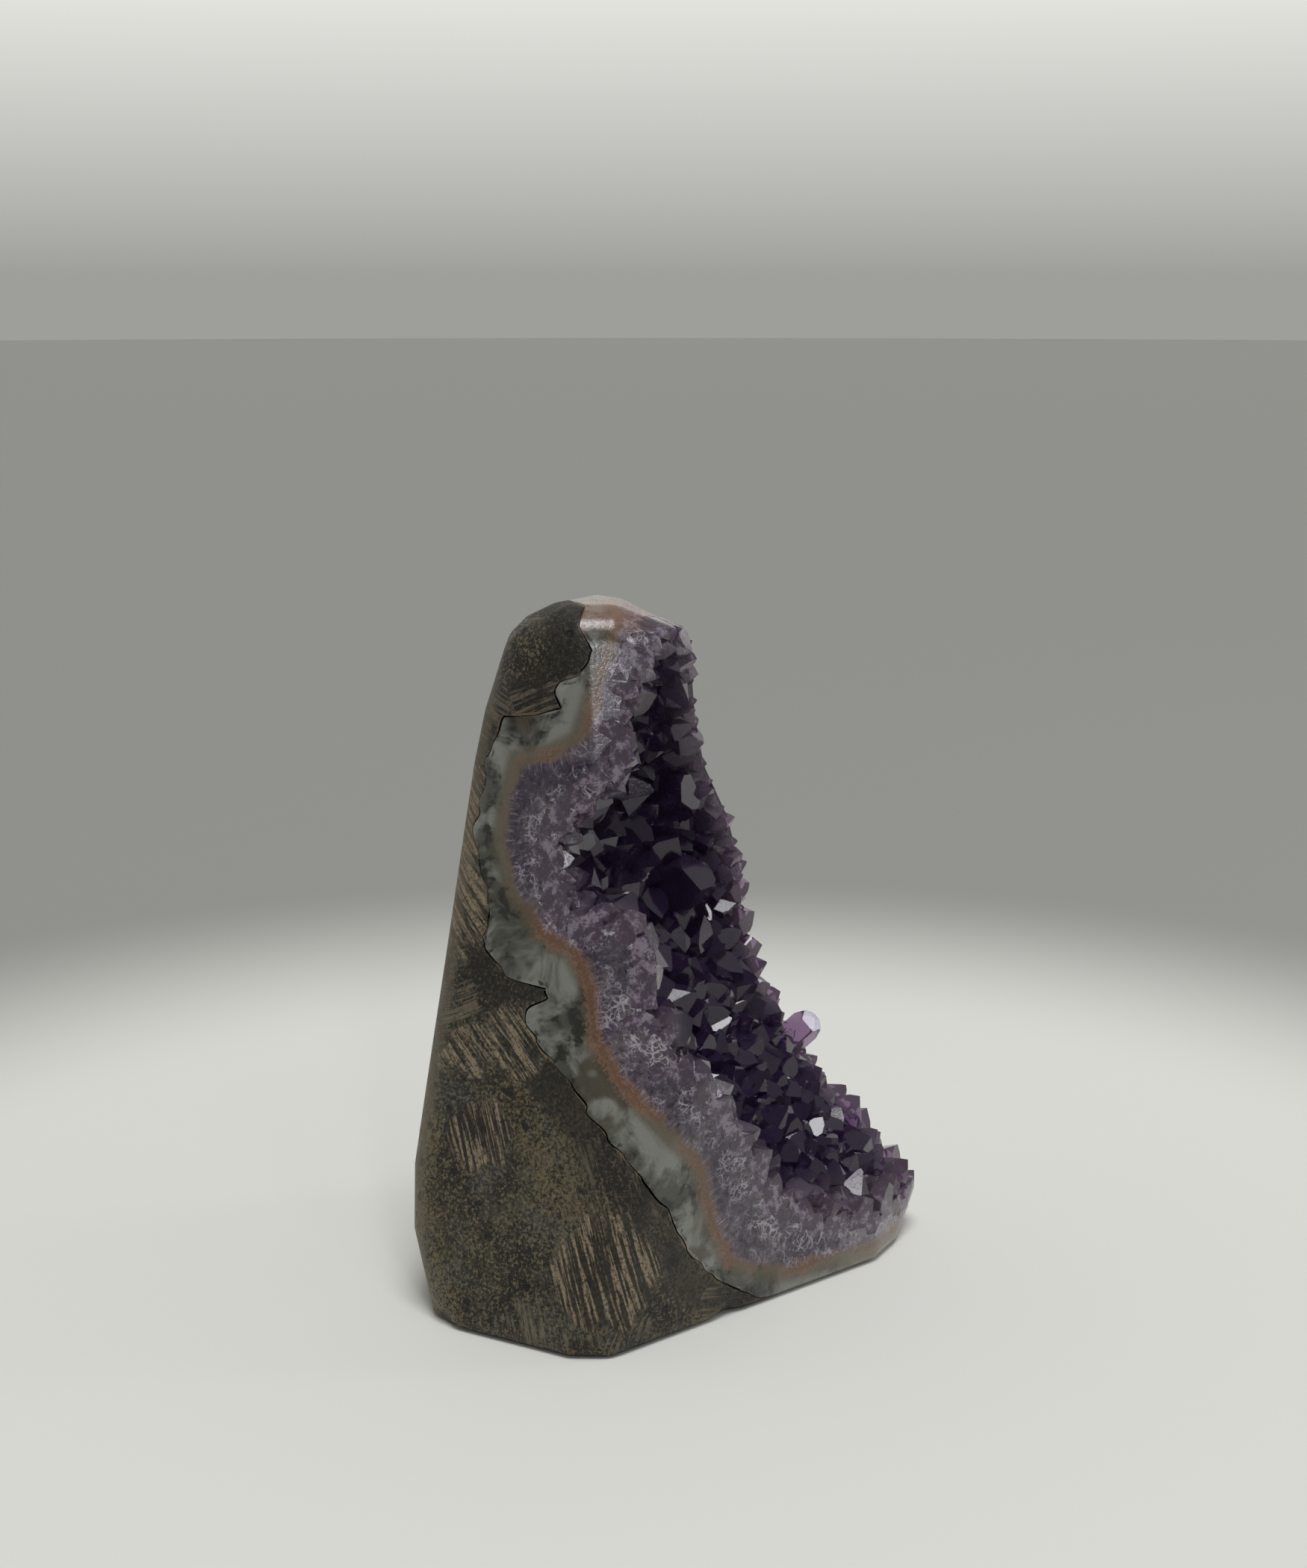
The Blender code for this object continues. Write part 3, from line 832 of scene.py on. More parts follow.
@dataclass(frozen=True)
class GroundBasalt:
    """Basalt ground with a coarse wheel and lacquered.

    The eye sees a dull dark grey-brown, finely speckled, with paler parallel grooves in patches,
    rusty specks and a weak sheen. The grain of the real stone is finer than it is drawn here.
    """
    dark: str = "13120d"
    middle: str = "3a372a"
    light: str = "766a4e"
    cool: str = "454a45"
    rust: str = "7d552b"
    groove_dust: str = "91816a"
    groove_gap: str = "1c1912"
    pale_side_tone: str = "6f6654"
    fissure: str = "6e5d43"
    hollow_shade: str = "12110d"
    groove_width: float = 0.48
    groove_length: float = 9.0
    groove_depth: float = 22.0
    facing: tuple = (0.766, 0.643, 0.0)
    turn_to_facing: float = -50.0
    upright_tilt: float = -15.0
    slant_tilt: float = -40.0
    patch_width: float = 13.0
    cloud_width: float = 26.0
    mottle_width: float = 5.0
    fleck_width: float = 2.4
    bubble_width: float = 4.3
    cool_width: float = 9.0
    grain_width: float = 0.55
    bend_width: float = 100.0 / 9.0
    bend_depth: float = 12.0
    dust_top: float = 75.0
    damp_reach: tuple = (11.0, 3.0)
    fissure_reach: tuple = (0.9, 0.25)
    roughness: tuple = (0.62, 0.46)
    groove_roughness: float = 0.2
    groove_relief: float = 1.6
    bubble_relief: float = -2.5
    relief_depth: float = 0.18
    ior: float = 1.55
    specular: float = 0.36
    lacquer: float = 0.06
    lacquer_roughness: float = 0.2

    def lines(self, tree: Tree, place: Socket, tilt: float) -> Socket:
        """Uneven parallel lines at a tilt to the upright: noise drawn out along one way.

        Args:
            tree: Node tree of the material.
            place: Object coordinates.
            tilt: Angle of the lines in degrees.

        Returns:
            Strength of the lines from 0 to 1.
        """
        turned = add_node(tree, "Mapping", {"vector_type": "TEXTURE"}, {
            "Vector": place,
            "Rotation": (0.0, math.radians(tilt), math.radians(self.turn_to_facing)),
            "Scale": (self.groove_width * MM, self.groove_depth * MM, self.groove_length * MM)})
        noise = add_node(tree, "TexNoise", {}, {"Vector": turned, "Scale": 1.0, "Detail": 3.0,
                                                "Roughness": 0.66})
        return add_node(tree, "MapRange", SMOOTH, (noise, 0.44, 0.56))

    def patchwork(self, tree: Tree, place: Socket, mottle: Socket) -> Socket:
        """Weaker lines in patches, each patch ground in a direction of its own.

        Args:
            tree: Node tree of the material.
            place: Object coordinates.
            mottle: Noise a few millimetres wide, where the lines are worn away.

        Returns:
            Strength of the lines from 0 to 1.
        """
        bent = add_node(tree, "TexNoise", {}, {"Vector": place, "Scale": per_mm(self.bend_width),
                                               "Detail": 2.0}, "Color")
        ragged = add_node(tree, "VectorMath", {"operation": "MULTIPLY_ADD"},
                          {0: bent, 1: (self.bend_depth * MM,) * 3, 2: place})
        cell = add_node(tree, "TexVoronoi", {}, {"Vector": ragged,
                                                 "Scale": per_mm(self.patch_width)}, "Color")
        chance = add_node(tree, "SeparateColor", {}, (cell,), 0)
        strength = add_node(tree, "SeparateColor", {}, (cell,), 1)
        angle = add_node(tree, "Math", {"operation": "MULTIPLY"}, (chance, math.pi))
        turned = add_node(tree, "VectorRotate", {"rotation_type": "AXIS_ANGLE"},
                          {"Vector": place, "Axis": self.facing, "Angle": angle})
        shown = add_node(tree, "MapRange", SMOOTH, (strength, 0.30, 0.90, 0.0, 0.75))
        worn = add_node(tree, "MapRange", SMOOTH, (mottle, 0.36, 0.60, 0.15, 1.0))
        shown = add_node(tree, "Math", {"operation": "MULTIPLY"}, (shown, worn))
        return add_node(tree, "Math", {"operation": "MULTIPLY"},
                        (self.lines(tree, turned, 0.0), shown))

    def stone_colour(self, tree: Tree, place: Socket, mottle: Socket, grain: Socket) -> Socket:
        """Dark stone with paler clouds, dust low down, rusty flecks and a fine speckle.

        Args:
            tree: Node tree of the material.
            place: Object coordinates.
            mottle: Noise a few millimetres wide.
            grain: Noise as fine as the grain.

        Returns:
            The colour.
        """
        colour = layer_over(tree, linear(self.dark), self.middle, mottle, (0.40, 0.58))
        cloud = add_node(tree, "TexNoise", {}, {"Vector": place, "Scale": per_mm(self.cloud_width),
                                                "Detail": 4.0})
        height = add_node(tree, "SeparateXYZ", {}, (place,), "Z")
        low = add_node(tree, "MapRange", SMOOTH, (height, self.dust_top * MM, 0.0, 0.15, 1.0))
        paler_share = add_node(tree, "MapRange", SMOOTH, (cloud, 0.40, 0.62))
        paler_share = add_node(tree, "Math", {"operation": "MULTIPLY"}, (paler_share, low))
        colour = layer_over(tree, colour, self.light, paler_share, (0.0, 1.0), 0.85)
        cool = add_node(tree, "TexNoise", {}, {"Vector": place, "Scale": per_mm(self.cool_width),
                                               "Detail": 3.0})
        colour = layer_over(tree, colour, self.cool, cool, (0.52, 0.62), 0.6)
        fleck = add_node(tree, "TexNoise", {}, {"Vector": place, "Scale": per_mm(self.fleck_width),
                                                "Detail": 4.0, "Roughness": 0.7})
        colour = layer_over(tree, colour, self.rust, fleck, (0.62, 0.72), 0.75)
        colour = layer_over(tree, colour, self.dark, grain, (0.52, 0.40), 0.95)
        return layer_over(tree, colour, self.light, grain, (0.52, 0.64), 0.8)

    def material(self) -> bpy.types.Material:
        """Build the material.

        Returns:
            The material, which reads the rock's own fields.
        """
        material, tree, shader = principled("ground_basalt")
        place = add_node(tree, "TexCoord", {}, {}, "Object")
        mottle = add_node(tree, "TexNoise", {}, {
            "Vector": place, "Scale": per_mm(self.mottle_width), "Detail": 6.0, "Roughness": 0.66})
        grain = add_node(tree, "TexNoise", {}, {
            "Vector": place, "Scale": per_mm(self.grain_width), "Detail": 2.0, "Roughness": 0.8})
        upright, slanting, contact, hollowed, paler_share = (
            add_node(tree, "Attribute", {"attribute_name": name}, {}, "Fac")
            for name in ("upright_marks", "slanting_marks", "contact_mm", "hollowed", "paler_facet"))
        colour = self.stone_colour(tree, place, mottle, grain)
        bubble = add_node(tree, "TexVoronoi", {}, {
            "Vector": place, "Scale": per_mm(self.bubble_width)}, "Distance")
        bubble = add_node(tree, "MapRange", SMOOTH, (bubble, 0.20, 0.10))
        colour = layer_over(tree, colour, self.hollow_shade, bubble, (0.0, 1.0))

        damp = add_node(tree, "MapRange", SMOOTH, (contact, *self.damp_reach))
        damp = add_node(tree, "Math", {"operation": "MULTIPLY"}, (damp, mottle))
        colour = layer_over(tree, colour, self.dark, damp, (0.25, 0.50), 0.7)
        marks = self.patchwork(tree, place, mottle)
        colour = layer_over(tree, colour, self.pale_side_tone, marks, (0.05, 0.75), 0.75)
        # The facets down the left side are painted paler in the side tone.
        colour = layer_over(tree, colour, self.pale_side_tone, paler_share, (0.0, 1.0), 0.5)
        colour = layer_over(tree, colour, self.groove_gap, upright, (0.0, 1.0), 0.8)
        lines = []
        for mask, tilt in ((upright, self.upright_tilt), (slanting, self.slant_tilt)):
            lines.append(add_node(tree, "Math", {"operation": "MULTIPLY"},
                                  (self.lines(tree, place, tilt), mask)))
        lines = add_node(tree, "Math", {"operation": "MAXIMUM"}, tuple(lines))
        broken = add_node(tree, "MapRange", SMOOTH, (grain, 0.36, 0.56, 0.35, 1.0))
        dusted = add_node(tree, "Math", {"operation": "MULTIPLY"}, (lines, broken))
        colour = layer_over(tree, colour, self.groove_dust, dusted, (0.0, 1.0), 0.95)
        lines = add_node(tree, "Math", {"operation": "MAXIMUM"}, (lines, marks))

        by_edge = add_node(tree, "MapRange", SMOOTH, (contact, *self.fissure_reach))
        by_edge = add_node(tree, "Math", {"operation": "MULTIPLY"}, (by_edge, mottle))
        colour = layer_over(tree, colour, self.fissure, by_edge, (0.38, 0.56), 0.9)
        colour = layer_over(tree, colour, self.hollow_shade, hollowed, (0.2, 0.8), 0.7)
        rough = add_node(tree, "MapRange", SMOOTH, (mottle, 0.3, 0.7, *self.roughness))
        rough = add_node(tree, "Math", {"operation": "MULTIPLY_ADD"},
                         (lines, self.groove_roughness, rough))
        relief = add_node(tree, "Math", {"operation": "MULTIPLY_ADD"},
                          (lines, self.groove_relief, grain))
        relief = add_node(tree, "Math", {"operation": "MULTIPLY_ADD"},
                          (bubble, self.bubble_relief, relief))
        bump = add_node(tree, "Bump", {}, {"Height": relief, "Strength": 1.0,
                                           "Distance": self.relief_depth * MM}, "Normal")
        fill_shader(tree, shader, {"Base Color": colour, "Roughness": rough, "Normal": bump,
                                   "IOR": self.ior, "Specular IOR Level": self.specular,
                                   "Coat Weight": self.lacquer,
                                   "Coat Roughness": self.lacquer_roughness})
        return material


@dataclass(frozen=True)
class PolishedRind:
    """Agate, iron-stained chalcedony and milky quartz cut across and polished.

    The eye sees cloudy grey agate, white by the rock and olive inwards, with dark mossy places,
    then a grainy orange-brown line and dark lilac quartz under a net of fine white cracks.
    """
    agate: str = "4b4b43"
    agate_white: str = "85877f"
    agate_olive: str = "544d3d"
    agate_dark: str = "1d211c"
    brown_patch: str = "433b2d"
    iron: str = "5c3a28"
    iron_pale: str = "8a6a54"
    toe_agate: str = "8d8378"
    quartz: str = "5a5158"
    quartz_violet: str = "3f3545"
    quartz_dark: str = "241c29"
    crack_white: str = "b0a8b2"
    toe_quartz: str = "8f8790"
    root_violet_and_shade: str = "1d1522"
    fibre_width: float = 0.3
    coarse_net: float = 2.3
    fine_net: float = 1.0
    moss_width: float = 3.8
    cloud_width: float = 10.0
    patch_width: float = 16.0
    frost_width: float = 1.1
    grain_width: float = 0.5
    olive_reach: tuple = (-3.2, -0.7)
    moss_reach: tuple = (2.6, 0.4)
    white_reach: tuple = (0.8, 0.2)
    fibre_reach: tuple = (6.5, 1.0)
    fibre_drift: float = 260.0
    crack_reach: tuple = (9.0, 1.5)
    crack_bend: float = 2.2
    iron_wobble: float = 3.0
    iron_grain: float = 4.0
    iron_wide: tuple = (2.0, 0.2)
    iron_narrow: tuple = (0.8, 0.1)
    quartz_from: tuple = (0.0, 1.2)
    dark_below: tuple = (0.5, 2.5)
    crown_stain: str = "9a7260"
    crown_from: float = 103.5
    crown_to: float = 109.5
    toe_from: float = 2.0
    toe_to: float = 22.0
    roughness: tuple = (0.16, 0.30)
    polish_strength: float = 0.3
    polish_depth: float = 0.08
    ior: float = 1.54
    glow: float = 0.15
    glow_reach: float = 0.8
    glow_tint: tuple = (1.0, 0.9, 0.85)

    def agate_colour(self, tree: Tree, contact: Socket, band: Socket, cloud: Socket,
                     moss: Socket, patch: Socket, toe: Socket) -> Socket:
        """Grey agate: white clouds by the rock, olive by the iron, dark moss and brown places.

        Args:
            tree: Node tree of the material.
            contact: Distance from the rock in millimetres.
            band: Distance inwards from the iron line in millimetres, negative in the agate.
            cloud: Broad noise.
            moss: Fine noise.
            patch: Broadest noise.
            toe: Share by which a place belongs to the thin rim at the toe.

        Returns:
            The colour.
        """
        colour = layer_over(tree, linear(self.agate), self.agate_white, cloud, (0.42, 0.58), 0.95)
        inward = add_node(tree, "MapRange", SMOOTH, (band, *self.olive_reach))
        colour = layer_over(tree, colour, self.agate_olive, inward, (0.0, 1.0), 0.75)
        colour = layer_over(tree, colour, self.brown_patch, patch, (0.57, 0.64), 0.85)
        gap = add_node(tree, "MapRange", SMOOTH, (cloud, 0.60, 0.42))
        mossy = add_node(tree, "Math", {"operation": "MULTIPLY"}, (moss, gap))
        colour = layer_over(tree, colour, self.agate_dark, mossy, (0.46, 0.60), 0.9)
        by_rock = add_node(tree, "MapRange", SMOOTH, (contact, *self.moss_reach))
        by_rock = add_node(tree, "Math", {"operation": "MULTIPLY"}, (by_rock, moss))
        colour = layer_over(tree, colour, self.agate_dark, by_rock, (0.48, 0.58), 0.85)
        white_edge = add_node(tree, "MapRange", SMOOTH, (contact, *self.white_reach))
        white_edge = add_node(tree, "Math", {"operation": "MULTIPLY"}, (white_edge, cloud))
        colour = layer_over(tree, colour, self.agate_white, white_edge, (0.46, 0.58), 0.8)
        return layer_over(tree, colour, self.toe_agate, toe, (0.0, 1.0), 0.7)

    def quartz_colour(self, tree: Tree, place: Socket, band: Socket, rim: Socket,
                      cloud: Socket, moss: Socket, toe: Socket) -> Socket:
        """Dark lilac quartz with fibres by the iron line and a net of white cracks by the rim.

        Args:
            tree: Node tree of the material.
            place: Object coordinates.
            band: Distance inwards from the iron line in millimetres.
            rim: Distance from the hollow in millimetres.
            cloud: Broad noise.
            moss: Fine noise.
            toe: Share by which a place belongs to the thin rim at the toe.

        Returns:
            The colour.
        """
        colour = layer_over(tree, linear(self.quartz), self.quartz_violet, cloud, (0.42, 0.60))
        colour = layer_over(tree, colour, self.toe_quartz, toe, (0.0, 1.0), 0.65)
        frost = add_node(tree, "TexNoise", {}, {"Vector": place, "Scale": per_mm(self.frost_width),
                                                "Detail": 4.0, "Roughness": 0.75})
        colour = layer_over(tree, colour, self.quartz_dark, frost, (0.50, 0.36), 0.8)
        colour = layer_over(tree, colour, self.crack_white, frost, (0.56, 0.74), 0.5)

        root = add_node(tree, "Attribute", {"attribute_name": "fibre_root"}, {}, "Vector")
        drawn_out = add_node(tree, "Mapping", {"vector_type": "TEXTURE"}, {
            "Vector": root, "Scale": (self.fibre_width * MM,) * 3})
        drift = add_node(tree, "VectorMath", {"operation": "SCALE"},
                         {0: place, "Scale": self.fibre_drift})
        drawn_out = add_node(tree, "VectorMath", {"operation": "ADD"}, (drawn_out, drift))
        fibres = add_node(tree, "TexNoise", {}, {"Vector": drawn_out, "Scale": 1.0, "Detail": 3.0,
                                                 "Roughness": 0.6})
        near_iron = add_node(tree, "MapRange", SMOOTH, (band, *self.fibre_reach, 0.35, 1.0))
        fibres = add_node(tree, "Math", {"operation": "MULTIPLY"}, (fibres, near_iron))
        colour = layer_over(tree, colour, self.crack_white, fibres, (0.50, 0.72), 0.55)

        bent = add_node(tree, "TexNoise", {}, {"Vector": place, "Scale": per_mm(self.coarse_net),
                                               "Detail": 3.0}, "Color")
        bent = add_node(tree, "VectorMath", {"operation": "MULTIPLY_ADD"},
                        {0: bent, 1: (self.crack_bend * MM,) * 3, 2: place})
        by_rim = add_node(tree, "MapRange", SMOOTH, (rim, *self.crack_reach, 0.25, 1.0))
        shown = add_node(tree, "MapRange", SMOOTH, (moss, 0.40, 0.60))
        shown = add_node(tree, "Math", {"operation": "MULTIPLY"}, (by_rim, shown))
        for width in (self.coarse_net, self.fine_net):
            crack = add_node(tree, "TexVoronoi", {"feature": "DISTANCE_TO_EDGE"},
                             {"Vector": bent, "Scale": per_mm(width)}, "Distance")
            crack = add_node(tree, "MapRange", SMOOTH, (crack, 0.11, 0.0))
            crack = add_node(tree, "Math", {"operation": "MULTIPLY"}, (crack, shown))
            colour = layer_over(tree, colour, self.crack_white, crack, (0.0, 1.0), 0.8)
        return colour

    def material(self) -> bpy.types.Material:
        """Build the material.

        Returns:
            The material, which reads the rind's own fields.
        """
        material, tree, shader = principled("polished_agate")
        place = add_node(tree, "TexCoord", {}, {}, "Object")
        contact, band, rim, depth = (
            add_node(tree, "Attribute", {"attribute_name": name}, {}, "Fac")
            for name in ("contact_mm", "band_mm", "rim_mm", "depth_mm"))
        cloud, patch, moss, grain = (
            add_node(tree, "TexNoise", {}, {"Vector": place, "Scale": per_mm(width),
                                            "Detail": detail, "Roughness": 0.66,
                                            "Distortion": bend})
            for width, detail, bend in ((self.cloud_width, 4.0, 0.5), (self.patch_width, 3.0, 0.0),
                                        (self.moss_width, 6.0, 0.8), (self.grain_width, 2.0, 0.0)))
        along = add_node(tree, "SeparateXYZ", {}, (place,), "X")
        toe = add_node(tree, "MapRange", SMOOTH, (along, self.toe_from * MM, self.toe_to * MM))
        wobble = add_node(tree, "Math", {"operation": "MULTIPLY_ADD"},
                          (moss, self.iron_wobble, -self.iron_wobble / 2.0))
        wobbly = add_node(tree, "Math", {"operation": "ADD"}, (band, wobble))
        agate = self.agate_colour(tree, contact, band, cloud, moss, patch, toe)
        quartz = self.quartz_colour(tree, place, band, rim, cloud, moss, toe)
        inward = add_node(tree, "MapRange", SMOOTH, (wobbly, *self.quartz_from))
        colour = add_node(tree, "Mix", COLOURS, {0: inward, 6: agate, 7: quartz}, 2)

        core = add_node(tree, "Math", {"operation": "MULTIPLY_ADD"},
                        (grain, self.iron_grain, -self.iron_grain / 2.0))
        core = add_node(tree, "Math", {"operation": "ADD"}, (wobbly, core))
        away = add_node(tree, "Math", {"operation": "ABSOLUTE"}, (core,))
        faint = add_node(tree, "MapRange", SMOOTH, (patch, 0.40, 0.58, 0.35, 1.0))
        not_toe = add_node(tree, "MapRange", {}, (toe, 0.0, 1.0, 1.0, 0.5))
        faint = add_node(tree, "Math", {"operation": "MULTIPLY"}, (faint, not_toe))
        wide = add_node(tree, "MapRange", SMOOTH, (away, *self.iron_wide))
        wide = add_node(tree, "Math", {"operation": "MULTIPLY"}, (wide, faint))
        colour = layer_over(tree, colour, self.iron_pale, wide, (0.0, 1.0), 0.7)
        narrow = add_node(tree, "MapRange", SMOOTH, (away, *self.iron_narrow))
        narrow = add_node(tree, "Math", {"operation": "MULTIPLY"}, (narrow, faint))
        colour = layer_over(tree, colour, self.iron, narrow, (0.0, 1.0), 0.65)
        height = add_node(tree, "SeparateXYZ", {}, (place,), "Z")
        crown = add_node(tree, "MapRange", SMOOTH, (height, self.crown_from * MM,
                                                    self.crown_to * MM))
        crown = add_node(tree, "Math", {"operation": "MULTIPLY"}, (crown, moss))
        colour = layer_over(tree, colour, self.crown_stain, crown, (0.25, 0.60), 0.5)
        # Painted shade: the rind's face in the hollow, under the crystals, is painted near-black
        # violet from 0.5 to 2.5 mm below the outside, partly the violet of the crystals' roots and
        # partly painted shade under them.
        colour = layer_over(tree, colour, self.root_violet_and_shade, depth, self.dark_below)

        rough = add_node(tree, "MapRange", SMOOTH, (grain, 0.3, 0.7, *self.roughness))
        bump = add_node(tree, "Bump", {}, {"Height": grain, "Strength": self.polish_strength,
                                           "Distance": self.polish_depth * MM}, "Normal")
        fill_shader(tree, shader, {"Base Color": colour, "Roughness": rough, "Normal": bump,
                                   "IOR": self.ior, "Subsurface Weight": self.glow,
                                   "Subsurface Radius": self.glow_tint,
                                   "Subsurface Scale": self.glow_reach * MM})
        return material


@dataclass(frozen=True)
class Amethyst:
    """Amethyst points as they grew: clear violet quartz, milky towards the polished rim.

    The eye sees glossy flat faces over a dark purple depth, pale and pink where a crystal is
    thin, with white veils near the rim.
    """
    clear: str = "b79fb9"
    deep_violet_and_shade: str = "5f4878"
    milky: str = "a79cab"
    absorbed: tuple = (0.55, 0.34, 0.62, 1.0)
    density: float = 190.0
    ior: float = 1.544
    violet_shade_reach: tuple = (0.0, 7.0)
    milk_reach: tuple = (8.0, 0.5)
    see_through: tuple = (0.85, 0.40)
    veil_width: float = 2.2
    cloud_width: float = 14.0
    roughness: tuple = (0.03, 0.10)
    face_strength: float = 0.25
    face_depth: float = 0.06

    def material(self) -> bpy.types.Material:
        """Build the material.

        Returns:
            The material, which reads the crust's own fields.
        """
        material, tree, shader = principled("amethyst")
        place = add_node(tree, "TexCoord", {}, {}, "Object")
        rim, depth = (add_node(tree, "Attribute", {"attribute_name": name}, {}, "Fac")
                      for name in ("rim_mm", "depth_mm"))
        veil = add_node(tree, "TexNoise", {}, {"Vector": place, "Scale": per_mm(self.veil_width),
                                               "Detail": 5.0, "Roughness": 0.75})
        cloud = add_node(tree, "TexNoise", {}, {"Vector": place, "Detail": 2.0,
                                                "Scale": per_mm(self.cloud_width)})
        # Painted shade: the tint runs from pale at the polished face to dark violet 7 mm down in the
        # hollow, partly the crystals' own violet and partly painted shade in the pocket.
        deep_violet_and_shade = add_node(tree, "MapRange", SMOOTH, (depth, *self.violet_shade_reach))
        colour = layer_over(tree, linear(self.clear), self.deep_violet_and_shade, deep_violet_and_shade, (0.0, 1.0))
        near_rim = add_node(tree, "MapRange", SMOOTH, (rim, *self.milk_reach, 0.10, 1.0))
        milk = add_node(tree, "MapRange", SMOOTH, (veil, 0.44, 0.66))
        milk = add_node(tree, "Math", {"operation": "MULTIPLY"}, (near_rim, milk))
        colour = layer_over(tree, colour, self.milky, milk, (0.0, 1.0))
        through = add_node(tree, "MapRange", SMOOTH, (milk, 0.0, 0.9, *self.see_through))
        rough = add_node(tree, "MapRange", SMOOTH, (cloud, 0.35, 0.65, *self.roughness))
        bump = add_node(tree, "Bump", {}, {"Height": veil, "Strength": self.face_strength,
                                           "Distance": self.face_depth * MM}, "Normal")
        fill_shader(tree, shader, {"Base Color": colour, "Roughness": rough, "Normal": bump,
                                   "IOR": self.ior, "Transmission Weight": through})
        volume = add_node(tree, "VolumeAbsorption", {}, {"Color": self.absorbed,
                                                         "Density": self.density})
        output = next(node for node in tree.nodes if node.type == "OUTPUT_MATERIAL")
        tree.links.new(volume, output.inputs["Volume"])
        return material


@dataclass
class Body:
    """Host rock and rind, both cut from the worn outside of the stone."""
    stone: GroundStone
    free_rim: float = 3.0
    fissure_low: float = 0.10
    fissure_high: float = 0.34
    fissure_length: float = 7.0
    fissure_seed: int = 11
    fissure_share: float = 0.5
    fissure_swell: float = 1.6
    paler_reach: tuple = (-3.0, -1.2)
    mark_ragged: float = 3.0
    mark_length: float = 6.0
    mark_seed: int = 23
    mark_fade: float = 0.8
    wave_count: int = 7
    sharp_angle: float = 32.0

    def __post_init__(self) -> None:
        """Work out the worn surface and the curves where the layers meet it."""
        self.grid = self.stone.worn_grid()
        self.curves = {}
        for layer, bowl in BOWLS.items():
            behind = self.grid[..., 1] - bowl.depth(self.grid[..., 0], self.grid[..., 2])
            self.curves[layer] = crossing_points(self.grid, behind)
        rim = self.curves[Layer.HOLLOW]
        normal, distance = FACETS["right"]
        self.polished_rim = rim[distance - rim @ np.array(normal) > self.free_rim]

    def build_basalt(self) -> bpy.types.Object:
        """Cut the host rock from the stone, a hair's breadth behind the agate.

        The open line at the contact is as wide as low + (high - low) times a wavy share.

        Returns:
            The rock.
        """
        rock = self.stone.solid("basalt_rock", self.grid)
        contact = BOWLS[Layer.CONTACT]
        swell = waves(contact.sheet(), self.fissure_length, self.wave_count, self.fissure_seed)
        share = np.clip(self.fissure_share + self.fissure_swell * swell, 0.0, 1.0)
        width = self.fissure_low + (self.fissure_high - self.fissure_low) * share
        combine(rock, [("DIFFERENCE", contact.space_before("before_contact", -width))])
        points = stone_points(rock)
        keep_field(rock, "contact_mm", nearest(points, self.curves[Layer.CONTACT])[0])
        keep_field(rock, "upright_marks", self.marked(points, UPRIGHT_MARKS))
        keep_field(rock, "slanting_marks", self.marked(points, SLANTING_MARKS))
        behind = [FACETS[name][1] - points @ np.array(FACETS[name][0]) for name in PALER_FACETS]
        keep_field(rock, "paler_facet", smooth_step(-np.minimum(*behind), *self.paler_reach))
        hollowed = np.zeros(len(points))
        for centre, radius, _ in self.stone.hollow_places():
            share = np.linalg.norm(points - centre, axis=-1) / radius
            hollowed = np.maximum(hollowed, np.clip(1.0 - share, 0.0, 1.0))
        keep_field(rock, "hollowed", hollowed)
        self.dress(rock, GroundBasalt().material(), "basalt_matrix")
        return rock

    def build_rind(self, sockets: list[tuple[str, bpy.types.Object]]) -> bpy.types.Object:
        """Cut the layered lining from the stone, between the contact and the hollow.

        Args:
            sockets: Cuts in which the crystals at the rim stand.

        Returns:
            The rind.
        """
        rind = self.stone.solid("polished_rind", self.grid)
        combine(rind, [
            ("INTERSECT", BOWLS[Layer.CONTACT].space_before("before_contact")),
            ("DIFFERENCE", BOWLS[Layer.HOLLOW].space_before("hollow"))] + sockets)
        points = stone_points(rind)
        keep_field(rind, "contact_mm", nearest(points, self.curves[Layer.CONTACT])[0])
        keep_field(rind, "rim_mm", nearest(points, self.curves[Layer.HOLLOW])[0])
        away, foot = nearest(points, self.curves[Layer.BAND])
        before_band = points[:, 1] < BOWLS[Layer.BAND].depth(points[:, 0], points[:, 2])
        keep_field(rind, "band_mm", np.where(before_band, away, -away))
        keep_field(rind, "fibre_root", (foot - MIDDLE) * MM)
        keep_field(rind, "depth_mm", -self.stone.outside(points))
        self.dress(rind, PolishedRind().material(), "agate_rind")
        return rind

    def marked(self, points: Array, patches: tuple) -> Array:
        """Find how strongly the wheel's marks show.

        The strength is 1 inside a patch and falls to 0 over the last part of its radius, with
        waves added to the distance from its middle.

        Args:
            points: Places on the rock.
            patches: Turn in degrees, height and radius of each patch.

        Returns:
            One strength from 0 to 1 for each place.
        """
        strength = np.zeros(len(points))
        ragged = self.mark_ragged * waves(points, self.mark_length, self.wave_count,
                                          self.mark_seed)
        for turn, z, radius in patches:
            spot = self.stone.level_points(np.array([math.radians(turn)]), np.array([z]))[0]
            away = np.linalg.norm(points - spot, axis=-1) + ragged
            inside = smooth_step(-away, -radius, -radius * self.mark_fade)
            strength = np.maximum(strength, inside)
        return strength

    def dress(self, item: bpy.types.Object, material: bpy.types.Material, node: str) -> None:
        """Give a piece its material and shading, and let it stand for its solid.

        Args:
            item: The piece.
            material: Its finish.
            node: Solid that it stands for.
        """
        item.data.materials.clear()
        item.data.materials.append(material)
        item.data.shade_smooth()
        item.data.set_sharp_from_angle(angle=math.radians(self.sharp_angle))
        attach(item, RIDES_ON)
        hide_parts(node)


@dataclass(frozen=True)
class CrystalSize:
    """One range of crystal sizes, and how its crystals are scattered."""
    smallest: float
    greatest: float
    tries: int
    from_rim: float
    from_right: float


